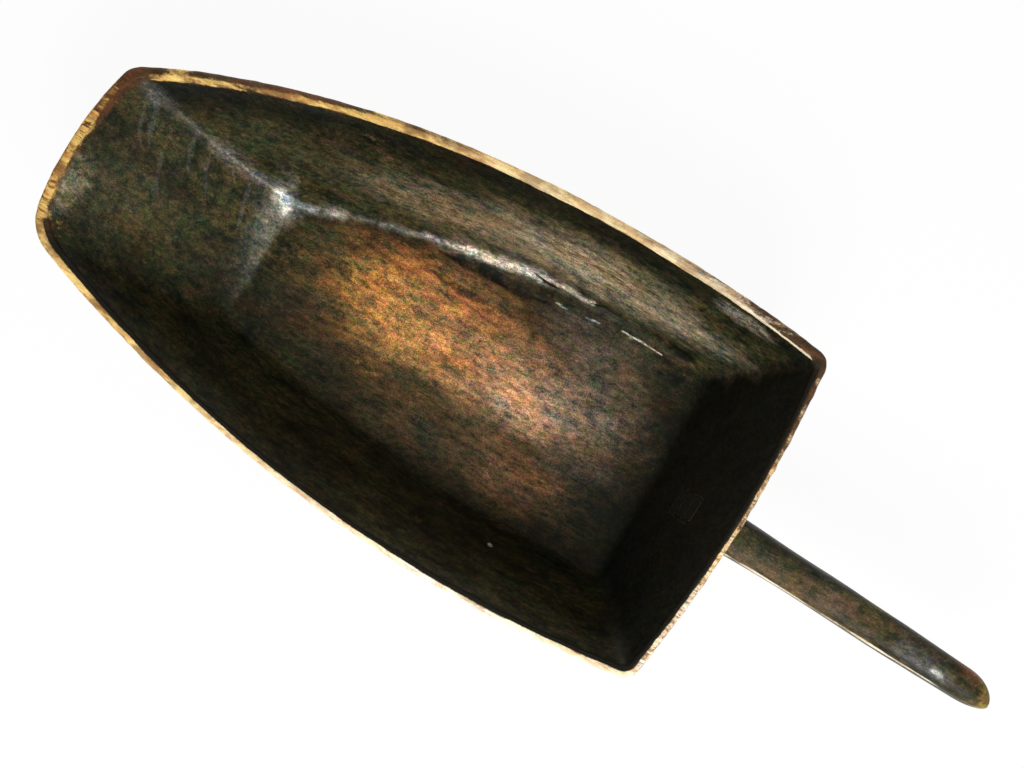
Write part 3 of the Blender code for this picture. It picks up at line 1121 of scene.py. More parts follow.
WEDGE_FINISH = WoodFinish(
    name="wedge_wood",
    golden=(0.24, 0.15, 0.075),
    cream=(0.38, 0.27, 0.16),
    orange=(0.24, 0.15, 0.075),
    tick=(0.05, 0.03, 0.015),
    black=(0.0055, 0.0058, 0.0035),
    olive=(0.060, 0.045, 0.024),
    brown=(0.11, 0.072, 0.036),
    red=(0.14, 0.070, 0.030),
    russet=(0.14, 0.070, 0.030),
    blotch_scale=120.0,
    fibre_scale=1100.0,
    roughness=(0.5, 0.7),
    bump=0.3,
    specular=0.08,
    highlight_color=(0.2, 0.16, 0.1),
    warm_highlight_color=(0.2, 0.16, 0.1),
    highlight_share=0.0,
    grit=0.8,
    outside=(0.06, 0.045, 0.02),
    outside_share=0.0,
    spots=(),
)


# Bowl

@dataclass
class Bowl:
    """The bowl: sizes as in the part, the marks that carving and use have left on it, and its painted
    highlights.
    """

    rim_length: float = 0.467
    lip_x: float = -0.290
    lip_height: float = 0.084
    back_height: float = 0.106
    rim_dip: float = 0.004
    rim_round: float = 0.0018
    outer_roll: float = 0.0040
    inner_roll: float = 0.0024
    roll_share: float = 0.60
    crest_share: float = 0.68
    floor_thickness: float = 0.014
    foot_round: float = 0.010
    hull_fullness: float = 1.22
    fillet_front: float = 0.0055
    fillet_right: float = 0.020
    fillet_back: float = 0.015
    fillet_left: float = 0.011
    fillet_share: float = 0.11
    mouth_corners: tuple[float, ...] = (0.018, 0.005, 0.006, 0.007)
    hollow_corners: tuple[float, ...] = (0.022, 0.014, 0.007, 0.0035)
    facet_place: tuple[float, float] = (-0.1655, 0.0355)
    facet_height: float = 0.0024
    facet_reach: float = 0.014
    sharp_fade: float = 0.12
    mark_margin: float = 2.2
    mark_cuts: int = 2
    side_steps: int = 190
    end_steps: int = 64
    corner_steps: int = 5

    floor: Outline = Outline(
        front_x=-0.1635, back_x=0.1185, front_left=0.038, front_right=0.044, back_left=0.075,
        back_right=0.071, front_skew=0.0, back_skew=0.0, bulge_front=0.0, bulge_back=0.0,
        bulge_left=0.016, bulge_right=0.008, swell_left=0.0, corner_front_right=0.010,
        corner_back_right=0.010, corner_back_left=0.010, corner_front_left=0.010,
    )
    rim: Outline = Outline(
        front_x=-0.2835, back_x=0.169, front_left=0.0585, front_right=0.0585, back_left=0.1115,
        back_right=0.1140, front_skew=0.004, back_skew=0.009, bulge_front=0.0065, bulge_back=0.008,
        bulge_left=0.032, bulge_right=0.0305, swell_left=0.0040, corner_front_right=0.018,
        corner_back_right=0.008, corner_back_left=0.008, corner_front_left=0.007,
    )
    rim_widths: Point = (0.0075, 0.0060, 0.0060)
    foot_margins: Point = (-0.002, 0.003, 0.043)
    foot_corner: float = 0.030

    cuts: tuple[CutMark, ...] = (
        CutMark(((-67, 58.7), (-39.4, 61.4), (-14, 61.4), (6.8, 63.2)), 7.0, 0.9, 1.0),
        CutMark(((-66.2, 44.7), (-43.5, 43.1), (-22.3, 44.3)), 4.4, 0.5, 0.7),
        CutMark(((-12, 75.4), (2, 74.4), (11.3, 74.2)), 0.9, 1.2, 1.0),
        CutMark(((31.5, 76.9), (41.2, 78.8), (52.5, 78)), 0.9, 1.0, 1.0),
        CutMark(((57.7, 71.9), (71, 71.5), (87.7, 70.1)), 0.9, -0.3, 0.0, 1.0),
        CutMark(((31.9, 67.7), (43.8, 68.3)), 0.7, -0.25, 0.0, 0.55),
        CutMark(((12, 66.4), (22, 66.2)), 0.7, -0.2, 0.0, 0.4),
        # Pale strokes on the front slope: a painted sheen of tool facets.
        CutMark(((-258.1, 55), (-255, 38), (-249.4, 22)), 2.6, -0.1, 0.0, 0.045),
        CutMark(((-264, 46), (-260, 32), (-253, 18)), 2.0, -0.1, 0.0, 0.04),
        CutMark(((-231, 48), (-228, 33), (-222, 18)), 2.4, -0.1, 0.0, 0.05),
        CutMark(((-219, 43), (-215, 28), (-208, 12)), 1.8, -0.1, 0.0, 0.05),
        CutMark(((-205.1, 46), (-202, 38), (-197, 30)), 1.8, -0.1, 0.0, 0.07),
        CutMark(((-190, 38), (-187, 22), (-183, 6)), 2.4, -0.1, 0.0, 0.06),
        CutMark(((-283, -10), (-281, -20), (-277, -34)), 1.8, -0.1, 0.0, 0.20),
        CutMark(((-243, 30), (-238, 10), (-231, -10)), 2.4, -0.1, 0.0, 0.04),
        CutMark(((51, -86), (54.5, -86.3)), 1.6, 0.7, 0.0, 0.8),
    )
    # Painted highlights along the creases, at the front-left corner and up the front slope, each with a
    # glossy coat.
    polished: tuple[GlossHighlightLine, ...] = (
        GlossHighlightLine(((-170.5, 38.5), (-165, 34)), 8.0, 1.25),
        GlossHighlightLine(((-170.5, 38.5), (-165, 33)), 15.0, 0.24),
        GlossHighlightLine(((-270, 58), (-259, 46)), 6.0, 0.09),
        GlossHighlightLine(((-262, 53), (-251.4, 50.5), (-217.4, 43.5)), 6.0, 0.05),
        GlossHighlightLine(((-217.4, 43.5), (-181.3, 39.6), (-167.1, 37.3)), 8.0, 0.11),
        GlossHighlightLine(((-262, 53), (-251.4, 50.5), (-217.4, 43.5)), 1.6, 0.09),
        GlossHighlightLine(((-217.4, 43.5), (-181.3, 39.6), (-167.1, 37.3)), 1.8, 0.22),
        GlossHighlightLine(((-163.5, 36), (-162.5, 20)), 26.0, 0.22, (1.0, 0.0)),
        GlossHighlightLine(((-162.5, 30), (-162, 2)), 23.0, 0.12, (1.0, 0.0)),
        GlossHighlightLine(((-162, 14), (-162, -12)), 19.0, 0.07, (1.0, 0.0)),
        GlossHighlightLine(((-162, 0), (-162.5, -30)), 15.0, 0.035, (1.0, 0.0)),
        GlossHighlightLine(((-163, 37.5), (-150, 41), (-130, 48.2)), 4.6, 0.30),
        GlossHighlightLine(((-130, 48.2), (-112, 53.2)), 2.4, 0.09),
        GlossHighlightLine(((-108, 54.2), (-95.6, 57.5), (-60.2, 65.5)), 3.2, 0.19),
        GlossHighlightLine(((-80, 61.8), (-43.7, 68.6)), 2.6, 0.6),
        GlossHighlightLine(((-50, 67.6), (-23.8, 72), (-2.3, 75.6)), 4.6, 1.1),
        GlossHighlightLine(((-2.3, 76.4), (15, 77), (34, 78)), 2.1, 0.7),
        GlossHighlightLine(((-60, 66.5), (-23.8, 73), (15, 78)), 7.0, 0.12),
    )

    def __post_init__(self) -> None:
        """Work out the outlines that follow from the floor and the rim."""
        front, side, back = self.rim_widths
        self.mouth = self.rim.grown(-front, -side, -back, -side).cornered(*self.mouth_corners)
        front, side, back = self.foot_margins
        self.base = self.floor.grown(front, side, back, side).cornered(*[self.foot_corner] * 4)

    def side_counts(self) -> tuple[int, int]:
        """Steps along a long side and along an end, each with half of both its corners."""
        return self.side_steps + 2 * self.corner_steps, self.end_steps + 2 * self.corner_steps

    def plan(self, outline: Outline) -> np.ndarray:
        """Place this bowl's points round an outline."""
        return outline.loop(self.side_steps, self.end_steps, self.corner_steps)

    def rim_top(self, x: np.ndarray) -> np.ndarray:
        """Height of the top of the rim, which climbs from the lip to the back with a slight dip."""
        s = (x - self.lip_x) / self.rim_length
        return self.lip_height + (self.back_height - self.lip_height) * s - self.rim_dip * 4 * s * (1 - s)

    def hull_outline(self, share: float) -> Outline:
        """The outside's outline at a share of its height."""
        return self.base.toward(self.rim, 1 - (1 - share) ** self.hull_fullness)

    def hull_ring(self, share: float) -> np.ndarray:
        """A ring on the outside, at a share of its height."""
        plan = self.plan(self.hull_outline(share))
        return np.column_stack([plan, share * (self.rim_top(plan[:, 0]) - self.rim_round)])

    def hollow_ring(self, share: float) -> np.ndarray:
        """A ring on the wall of the hollow, with tight corners halfway up.

        Args:
            share: Its share of the wall's height.

        Returns:
            The ring's points.
        """
        outline = self.floor.toward(self.mouth, share)
        midway = min(1.0, 6 * share) * min(1.0, 3 * (1 - share))
        pairs = zip(outline.corner_sizes(), self.hollow_corners)
        corners = [size + (mid - size) * midway for size, mid in pairs]
        plan = self.plan(outline.cornered(*corners))
        top = self.rim_top(self.plan(self.mouth)[:, 0]) - self.inner_roll
        return np.column_stack([plan, self.floor_thickness + share * (top - self.floor_thickness)])

    def level_ring(self, outline: Outline, level: float) -> np.ndarray:
        """A ring at one height."""
        plan = self.plan(outline)
        return np.column_stack([plan, np.full(len(plan), level)])

    def top_ring(self, share: float, drop: float = 0.0) -> np.ndarray:
        """A ring on top of the rim, at a share of the way from its outer to its inner edge."""
        plan = self.plan(self.rim.toward(self.mouth, share))
        return np.column_stack([plan, self.rim_top(plan[:, 0]) - drop])

    def rings(self) -> list[tuple[Zone, float, np.ndarray]]:
        """Stack the rings from the underside, up the outside, over the rim and down into the hollow.

        Returns:
            Each ring's zone, its share of that zone and its points.
        """
        stack = []
        foot_share = self.foot_round / self.lip_height
        inset = self.base.grown(*[-self.foot_round] * 4)
        flat, corner = self.level_ring(inset, 0.0), self.level_ring(self.base, 0.0)
        wall = self.hull_ring(foot_share)
        for share in np.linspace(0, 1, 7):
            stack.append((Zone.FOOT, share, bent(flat, corner, wall, share)))
        hull_top = 1 - (self.outer_roll - self.rim_round) / self.lip_height
        for share in np.linspace(foot_share, hull_top, 30)[1:]:
            stack.append((Zone.HULL, share, self.hull_ring(share)))
        outer, edge, top = self.hull_ring(hull_top), self.top_ring(0.0), self.top_ring(self.roll_share)
        for share in np.linspace(0, 1, 7)[1:]:
            stack.append((Zone.RIM, self.roll_share * share ** 2, bent(outer, edge, top, share)))
        crest = self.crest_share
        top, edge, inner = self.top_ring(crest), self.top_ring(1.0), self.hollow_ring(1.0)
        for share in np.linspace(0, 1, 6):
            stack.append((Zone.RIM, crest + (1 - crest) * share, bent(top, edge, inner, share)))
        for share in np.linspace(1, self.fillet_share, 38)[1:]:
            stack.append((Zone.WALL, share, self.hollow_ring(share)))
        fillets = (self.fillet_front, self.fillet_right, self.fillet_back, self.fillet_left)
        inset = self.floor.grown(*[-size for size in fillets])
        flat, wall = self.level_ring(inset, self.floor_thickness), self.hollow_ring(self.fillet_share)
        corner = self.level_ring(self.floor, self.floor_thickness)
        x = corner[:, 0]
        chamfer = smooth(-0.080, -0.055, x) * smooth(0.010, -0.012, x) + 0.5 * smooth(-0.120, -0.155, x)
        narrowed = self.side_weights()[:, Side.LEFT.value] * 0.55 * (1 - chamfer)
        flat = flat + (corner - flat) * narrowed[:, None]
        for share in np.linspace(0, 1, 13)[1:]:
            stack.append((Zone.FILLET, 1 - share, bent(wall, corner, flat, share)))
        return stack

    def sheet_inside(self, loop: np.ndarray) -> np.ndarray:
        """Fill a ring with a grid that meets its four sides.

        Args:
            loop: The ring's points.

        Returns:
            The grid, first along the long sides and then across, with the ring as its edge.
        """
        long, wide = self.side_counts()
        closed = np.vstack([loop, loop[:1]])
        right, back = closed[:long + 1], closed[long:long + wide + 1]
        left, lip = closed[long + wide:2 * long + wide + 1][::-1], closed[2 * long + wide:][::-1]
        u = np.linspace(0, 1, long + 1)[:, None, None]
        v = np.linspace(0, 1, wide + 1)[None, :, None]
        grid = (1 - v) * right[:, None] + v * left[:, None] + (1 - u) * lip[None] + u * back[None]
        grid -= (1 - u) * ((1 - v) * right[0] + v * left[0]) + u * ((1 - v) * right[-1] + v * left[-1])
        return grid

    def side_weights(self) -> np.ndarray:
        """Weigh how much each step round a ring belongs to each side, blending across the corners.

        Returns:
            One row for each step and one column for each side.
        """
        long, wide = self.side_counts()
        owner = np.repeat(np.arange(4), (long, wide, long, wide))
        weights = np.zeros((len(owner), 4))
        for shift in range(-self.corner_steps, self.corner_steps + 1):
            weights[np.arange(len(owner)), np.roll(owner, shift)] += 1 / (2 * self.corner_steps + 1)
        return weights

    def base_mesh(self) -> tuple[bpy.types.Mesh, BowlSkin]:
        """Join the rings, the underside and the floor into one closed mesh.

        Returns:
            The mesh and what is known of its points.
        """
        stack = self.rings()
        count = len(stack[0][2])
        places = [ring for _, _, ring in stack]
        zones = [np.full(count, zone.value) for zone, _, _ in stack]
        shares = [np.full(count, share) for _, share, _ in stack]
        sides = [self.side_weights()] * len(stack)
        step = np.arange(count)
        after = (step + 1) % count
        faces = []
        for ring in range(len(stack) - 1):
            low, high = ring * count, (ring + 1) * count
            faces.append(np.column_stack([low + step, low + after, high + after, high + step]))
        long, wide = self.side_counts()
        total = len(stack) * count
        for zone, ring, flip in ((Zone.UNDERSIDE, 0, True), (Zone.FLOOR, len(stack) - 1, False)):
            grid = self.sheet_inside(stack[ring][2])
            index = np.empty((long + 1, wide + 1), int)
            edge = ring * count + np.append(step, 0)
            index[:, 0] = edge[:long + 1]
            index[-1, :] = edge[long:long + wide + 1]
            index[:, -1] = edge[long + wide:2 * long + wide + 1][::-1]
            index[0, :] = edge[2 * long + wide:][::-1]
            inner = (long - 1) * (wide - 1)
            index[1:-1, 1:-1] = total + np.arange(inner).reshape(long - 1, wide - 1)
            places.append(grid[1:-1, 1:-1].reshape(-1, 3))
            zones.append(np.full(inner, zone.value))
            shares.append(np.zeros(inner))
            sides.append(np.zeros((inner, 4)))
            total += inner
            quads = np.stack([index[:-1, :-1], index[1:, :-1], index[1:, 1:], index[:-1, 1:]], axis=-1)
            faces.append(quads.reshape(-1, 4)[:, ::-1] if flip else quads.reshape(-1, 4))
        mesh = bpy.data.meshes.new("bowl")
        mesh.from_pydata(np.concatenate(places).tolist(), [], np.concatenate(faces).tolist())
        return mesh, BowlSkin(np.concatenate(zones), np.concatenate(shares), np.concatenate(sides))

    def carve(self, mesh: bpy.types.Mesh, skin: BowlSkin) -> None:
        """Shape the tool marks, the sway of the rim and the unevenness of hand work.

        Args:
            mesh: The bowl's smooth mesh, whose points are moved.
            skin: What is known of its points.
        """
        places, normals = places_of(mesh), normals_of(mesh)
        shares = skin.shares
        inside = skin.on(Zone.WALL, Zone.FILLET, Zone.FLOOR)
        front = smooth(-0.140, -0.190, places[:, 0]) * inside
        below = np.zeros(len(places))
        hewn = scallops(places / np.array((0.060, 0.026, 0.022)), 11)
        below += 0.0015 * hewn * skin.on(Zone.HULL) * smooth(0.0, 0.2, shares) * smooth(1.0, 0.85, shares)
        planed = scallops(places / np.array((0.090, 0.020, 0.020)), 23)
        below += 0.0005 * planed * skin.on(Zone.UNDERSIDE)
        long_cuts = scallops(places / np.array((0.085, 0.017, 0.017)), 37)
        cross_cuts = scallops(places / np.array((0.020, 0.060, 0.020)), 41)
        gouged = long_cuts * (1 - front) + cross_cuts * front
        rim_fade = np.where(skin.on(Zone.WALL) > 0, smooth(1.0, 0.93, shares), 1.0)
        below -= 0.00075 * gouged * inside * rim_fade
        sway = soft_noise(places / np.array((0.060, 0.045, 0.045)), 53)
        below += 0.0006 * sway * inside * rim_fade
        far = np.linalg.norm(places[:, :2] - np.array(self.facet_place), axis=1)
        below -= self.facet_height * smooth(self.facet_reach, 0.0, far) * inside
        rough = soft_noise(places / 0.0042, 61) * 0.00022 + soft_noise(places / 0.020, 67) * 0.00035
        below += rough * skin.on(Zone.RIM)
        below += 0.0006 * soft_noise(places / 0.0034, 73) * skin.on(Zone.RIM) * skin.side(Side.BACK)
        places -= normals * below[:, None]
        lift = soft_noise(np.column_stack([places[:, :2] / 0.055, np.zeros(len(places))]), 71)
        places[:, 2] += 0.0008 * lift * smooth(0.65, 1.0, places[:, 2] / self.rim_top(places[:, 0]))
        places[:, 2] = np.maximum(places[:, 2], 0.0)
        move_points(mesh, places)

    def mark(self, mesh: bpy.types.Mesh, skin: BowlSkin) -> None:
        """Store where the wood is worn bare, pale or red-brown, and where painted light and shade go.

        Args:
            mesh: The carved mesh.
            skin: What is known of its points.
        """
        places = places_of(mesh)
        x, y = places[:, 0], places[:, 1]
        shares = skin.shares
        rim, wall, hull = skin.on(Zone.RIM), skin.on(Zone.WALL), skin.on(Zone.HULL)
        fillet, floor = skin.on(Zone.FILLET), skin.on(Zone.FLOOR)
        right, back, left, lip = (skin.side(side) for side in Side)
        narrow = 0.30 * smooth(0.03, 0.165, x)
        inner = smooth(0.52, 0.68, shares - narrow)
        corner = lip * left + back * left
        lip_patch = np.exp(-((x + 0.255) / 0.011) ** 2)
        outer_left = 0.16 + 0.50 * smooth(-0.20, -0.07, x) + 0.5 * lip_patch - 0.46 * smooth(0.09, 0.16, x)
        inner_left = 0.52 + 0.46 * smooth(-0.22, -0.10, x) + 0.35 * lip_patch
        bare_left = outer_left * (1 - inner) + inner_left * inner
        # The right rim is bare on its outer roll, which faces the key lamp, and dark on its inner roll:
        # partly worn wood, partly painted highlight and shade.
        bare_and_lit_right = 0.95 - 0.95 * smooth(0.50, 0.70, shares)
        low_back = smooth(-0.02, -0.07, y)
        # Painted shade: the inner roll of the rim on the right side and at the back faces away from the key
        # lamp.
        shaded_roll = (right + back) * smooth(0.48, 0.66, shares)
        bare_back = 0.40 + 0.30 * smooth(0.07, 0.015, y) + 0.28 * low_back
        bare_back -= 0.95 * smooth(0.40, 0.66, shares)
        bare_lip = 0.86 - 0.46 * smooth(0.006, 0.036, y) - 0.4 * smooth(0.66, 0.90, shares)
        rim_bare = left * bare_left + right * bare_and_lit_right + back * bare_back + lip * bare_lip - 0.6 * corner
        bare = rim * rim_bare + hull * smooth(0.93, 0.98, shares) * (0.2 * left + 0.7 * right + 0.3 * back)
        set_mask(mesh, Mask.BARE_AND_LIT, bare)
        pale_left = 0.05 + 0.50 * smooth(-0.15, 0.02, x) + 0.30 * smooth(0.02, 0.14, x)
        # The right rim turns cream toward the back: partly paler worn wood, partly a painted highlight
        # where it faces the key lamp.
        pale_and_lit_right = 0.12 + 0.95 * smooth(-0.21, 0.04, x)
        pale = left * pale_left + right * pale_and_lit_right + back * (0.6 + 0.4 * low_back)
        set_mask(mesh, Mask.PALE_AND_LIT, pale)
        set_mask(mesh, Mask.ENDS, lip * smooth(1.0, 0.7, shares) + back * 0.7)
        russet = rim * (0.45 + 0.25 * lip + 0.6 * corner) * (1 - shaded_roll)
        set_mask(mesh, Mask.RUSSET, russet + hull * smooth(0.90, 0.98, shares) * 0.4)
        # Painted shade: black on the shaded inner roll of the right and back rim, on the back and right
        # walls, their fillets and the back of the floor; the left wall also gets a darker band just under
        # the rim.
        grime = wall * left * 0.75 * smooth(0.66, 0.90, shares) + rim * shaded_roll * 0.95
        grime += wall * (back * 0.97 + right * 0.38)
        grime += fillet * (back * (0.6 + 0.37 * shares) + right * (0.15 + 0.4 * shares))
        grime += floor * 0.7 * smooth(0.055, 0.110, x)
        set_mask(mesh, Mask.SHADE_AND_GRIME, grime)
        set_mask(mesh, Mask.HOLLOW, wall + fillet + floor)
        set_mask(mesh, Mask.GLOSS_AND_HIGHLIGHT, np.zeros(len(places)))
        set_mask(mesh, Mask.CUT, np.zeros(len(places)))

    def wear(self, mesh: bpy.types.Mesh) -> None:
        """Cut the single marks into the hollow, and paint pale highlights with a glossy coat along its
        creases and marks.

        Args:
            mesh: The carved and marked mesh, made finer round the marks.
        """
        plan = places_of(mesh)[:, :2]
        hollow = mask_of(mesh, Mask.HOLLOW) > 0.5
        near = np.zeros(len(plan), bool)
        for cut in self.cuts:
            near |= far_from(plan, np.array(cut.path) * MM) < (cut.width + self.mark_margin) * MM
        refine(mesh, near & hollow, self.mark_cuts)
        places, normals = places_of(mesh), normals_of(mesh)
        plan = places[:, :2]
        hollow = mask_of(mesh, Mask.HOLLOW)
        dirt, polish = np.zeros(len(places)), np.zeros(len(places))
        wander = np.column_stack([soft_noise(places / 0.009, seed) for seed in (97, 98)]) * 0.0007
        patchy = soft_noise(places / 0.0016, 101) + soft_noise(places / 0.0045, 103)
        patchy += soft_noise(places / 0.011, 105)
        for cut in self.cuts:
            offset, share = along_path(plan + wander, np.array(cut.path) * MM)
            taper = smooth(0.0, 0.3, share) * smooth(1.0, 0.7, share)
            width = cut.width * MM * (0.2 + 0.8 * taper)
            deep = smooth(1.0, 0.0, np.linalg.norm(offset, axis=1) / width) * hollow
            places -= normals * (deep * cut.depth * MM)[:, None]
            held = np.clip(smooth(0.1, 0.7, deep) * (1 + 0.4 * patchy), 0, 1)
            dirt = np.maximum(dirt, held * cut.dirt)
            polish = np.maximum(polish, held * cut.polish)
        # Painted highlight: a pale band with a glossy coat along each highlight line, faded unevenly; a
        # sharp side stops it short.
        for line in self.polished:
            offset, _ = along_path(plan + wander * 1.5, np.array(line.path) * MM)
            past = offset @ np.array(line.sharp_side) > 0
            reach = line.reach * MM * np.where(past, self.sharp_fade, 1.0)
            far = np.linalg.norm(offset, axis=1) / reach
            worn = smooth(1.0, 0.0, far * (1 + 0.25 * patchy)) * line.share
            polish = np.maximum(polish, worn * np.clip(0.9 + 0.45 * patchy, 0, 1.2) * hollow)
        move_points(mesh, places)
        set_mask(mesh, Mask.CUT, dirt)
        set_mask(mesh, Mask.GLOSS_AND_HIGHLIGHT, polish * (1 - dirt))

    def build(self) -> bpy.types.Object:
        """Make the bowl without its mortise.

        Returns:
            The bowl.
        """
        mesh, skin = self.base_mesh()
        self.carve(mesh, skin)
        self.mark(mesh, skin)
        self.wear(mesh)
        return new_object("bowl_carved", mesh)

    def dress(self, piece: bpy.types.Object, effects: SharedEffects) -> None:
        """Give the bowl its finish and its place in the frame.

        Args:
            piece: The finished bowl.
            effects: The shared node groups.
        """
        piece.data.materials.clear()
        piece.data.materials.append(BOWL_FINISH.material(effects))
        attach(piece, BODY)
        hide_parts("bowl")


# Handle

@dataclass
class Handle:
    """The whittled handle with its tenon: sizes as in the part."""

    bowl: Bowl
    length: float = 0.189
    height: float = 0.062
    offset: float = -0.0073
    turn: float = math.radians(-3.2)
    rise: float = math.radians(6.0)
    root_width: float = 0.0262
    root_depth: float = 0.0290
    end_width: float = 0.0207
    end_depth: float = 0.0235
    end_round: float = 0.022
    tip_shift: float = 0.0030
    squareness: float = 3.0
    tenon_width: float = 0.017
    tenon_depth: float = 0.020
    tenon_squareness: float = 7.0
    wedge_length: float = 0.015
    wedge_head: float = 0.0034
    wedge_tip: float = 0.0010
    wedge_spacing: float = 0.0076
    fit_gap: float = 0.0003
    cut_margin: float = 0.010
    cutter_margin: float = 0.030
    tenon_short: float = 0.0004
    tip_sweep: float = math.radians(82)
    ray_outside: float = 0.08
    ray_inside: float = -0.10
    section_steps: int = 56
    grip_steps: int = 90
    tip_steps: int = 14

    def wall_x(self, outer: bool) -> float:
        """Find where a face of the back wall lies at the handle's height.

        Args:
            outer: Whether it is the outer face.

        Returns:
            The place along X.
        """
        rim_top = float(self.bowl.rim_top(self.bowl.lip_x + self.bowl.rim_length)) - self.bowl.rim_round
        if outer:
            face = self.bowl.hull_outline(self.height / rim_top)
        else:
            low = self.bowl.floor_thickness
            face = self.bowl.floor.toward(self.bowl.mouth, (self.height - low) / (rim_top - low))
        return face.back_x + face.bulge_back

    def seat(self) -> Matrix:
        """The handle's own frame: its root on the outer face of the back wall, +X toward its tip."""
        place = Matrix.Translation((self.wall_x(True), self.offset, self.height))
        return place @ Matrix.Rotation(self.turn, 4, "Z") @ Matrix.Rotation(-self.rise, 4, "Y")

    def section(self, width: float, depth: float, squareness: float) -> np.ndarray:
        """Points round an oval drawn toward a rectangle, across and up.

        Args:
            width: Size across.
            depth: Size upward.
            squareness: 2 for an ellipse, more for a squarer shape.

        Returns:
            An array of two columns.
        """
        angle = np.linspace(0, math.tau, self.section_steps, endpoint=False)
        across = np.sign(np.cos(angle)) * np.abs(np.cos(angle)) ** (2 / squareness)
        upward = np.sign(np.sin(angle)) * np.abs(np.sin(angle)) ** (2 / squareness)
        return np.column_stack([across * width / 2, upward * depth / 2])

    def met(self, wall: BVHTree, section: np.ndarray, start: float, step: float) -> np.ndarray:
        """Find where lines along the handle meet the bowl.

        Args:
            wall: The bowl's surface.
            section: The lines' places across and up.
            start: Where along the handle each line starts.
            step: 1 to look toward the tip, -1 to look toward the bowl.

        Returns:
            How far along the handle each line meets the bowl.
        """
        seat = self.seat()
        way = seat.to_3x3() @ Vector((step, 0, 0))
        found = []
        for across, upward in section:
            _, _, _, far = wall.ray_cast(seat @ Vector((start, across, upward)), way)
            found.append(start + step * far)
        return np.array(found)

    def in_part(self, points: np.ndarray) -> np.ndarray:
        """Move points from the handle's own frame to the frame of the part."""
        seat = np.array(self.seat())
        return points @ seat[:3, :3].T + seat[:3, 3]

    def stack(self, along: np.ndarray | float, section: np.ndarray) -> np.ndarray:
        """Make a ring in the handle's own frame."""
        return np.column_stack([np.broadcast_to(along, len(section)), section])

    def inner_face(self) -> float:
        """Where the back wall's inner face lies, along the handle."""
        return self.wall_x(False) - self.wall_x(True)

    def wedge_thickness(self, along: np.ndarray | float) -> np.ndarray | float:
        """The wedges' thickness, thin toward their tips.

        Args:
            along: A place along the handle, or an array of them.

        Returns:
            The thickness there.
        """
        head = self.inner_face() - self.tenon_depth - self.cut_margin
        share = (along - head) / (self.inner_face() + self.wedge_length - head)
        return self.wedge_head + (self.wedge_tip - self.wedge_head) * share

    def mortise(self) -> bpy.types.Mesh:
        """The hole for the tenon, as a shape to cut away.

        Returns:
            A straight bar, as thick as the tenon and its clearance.
        """
        grow = 2 * self.fit_gap
        start = self.inner_face() - self.cutter_margin
        hole = self.section(self.tenon_width + grow, self.tenon_depth + grow, self.tenon_squareness)
        rings = [self.in_part(self.stack(along, hole)) for along in (start, self.cutter_margin)]
        return skinned("mortise", rings)

    def kerf(self, level: float) -> bpy.types.Mesh:
        """The saw cut for one wedge, as a shape to cut away.

        Args:
            level: Its height above the handle's middle.

        Returns:
            A flat taper across the tenon.
        """
        rings = []
        across = self.tenon_width / 2 + self.cut_margin
        inner = self.inner_face()
        for along in (inner - self.cutter_margin, inner + self.wedge_length + self.fit_gap):
            half = self.wedge_thickness(along) / 2 + self.fit_gap
            corners = np.array([(across, -half), (across, half), (-across, half), (-across, -half)])
            corners[:, 1] += level
            rings.append(self.in_part(self.stack(along, corners)))
        return skinned("kerf", rings)

    def build(self, wall: BVHTree) -> bpy.types.Object:
        """Make the handle, seated on the bowl's wall, with its tenon trimmed flush inside.

        Args:
            wall: The bowl's surface before its mortise is cut.

        Returns:
            The handle, with a kerf for each wedge.
        """
        grip = self.section(self.root_width, self.root_depth, self.squareness)
        tenon = self.section(self.tenon_width, self.tenon_depth, self.tenon_squareness)
        shoulder = self.met(wall, grip, self.ray_outside, -1.0) + self.fit_gap
        neck = self.met(wall, tenon, self.ray_outside, -1.0) + self.fit_gap
        trimmed = self.met(wall, tenon, self.ray_inside, 1.0) - self.tenon_short
        rings = [self.stack(trimmed + (neck - trimmed) * share, tenon) for share in np.linspace(0, 1, 6)]
        rings.append(self.stack(neck + (shoulder - neck) * 0.5, (tenon + grip) / 2))
        straight = self.length - self.end_round
        for share in np.linspace(0, 1, self.grip_steps):
            width = self.root_width + (self.end_width - self.root_width) * share
            depth = self.root_depth + (self.end_depth - self.root_depth) * share
            along = shoulder + (straight - shoulder) * share
            rings.append(self.stack(along, self.section(width, depth, self.squareness)))
        sweep = self.tip_sweep
        for share in np.linspace(0, 1, self.tip_steps + 1)[1:]:
            size = math.cos(sweep * share)
            along = straight + self.end_round * math.sin(sweep * share) / math.sin(sweep)
            tip = self.section(self.end_width * size, self.end_depth * size, self.squareness)
            tip[:, 0] -= self.tip_shift * (1 - size)
            rings.append(self.stack(along, tip))
        mesh = skinned("handle", rings)
        self.whittle(mesh, shoulder.max())
        move_points(mesh, self.in_part(places_of(mesh)))
        piece = new_object("handle_whittled", mesh)
        for level in (self.wedge_spacing / 2, -self.wedge_spacing / 2):
            cut_away(piece, self.kerf(level))
        piece.data.set_sharp_from_angle(angle=SHARP_ANGLE)
        return piece

    def whittle(self, mesh: bpy.types.Mesh, root: float) -> None:
        """Shape the long knife facets and the slight sway of the stick.

        Args:
            mesh: The handle's smooth mesh in its own frame, whose points are moved.
            root: Where the facets begin, along the handle.
        """
        places, normals = places_of(mesh), normals_of(mesh)
        fade = smooth(root, root + 0.010, places[:, 0])
        facets = scallops(places / np.array((0.070, 0.011, 0.011)), 83)
        lumps = soft_noise(places / np.array((0.045, 0.030, 0.030)), 89)
        places += normals * ((0.0007 * facets - 0.0004 + 0.0005 * lumps) * fade)[:, None]
        move_points(mesh, places)

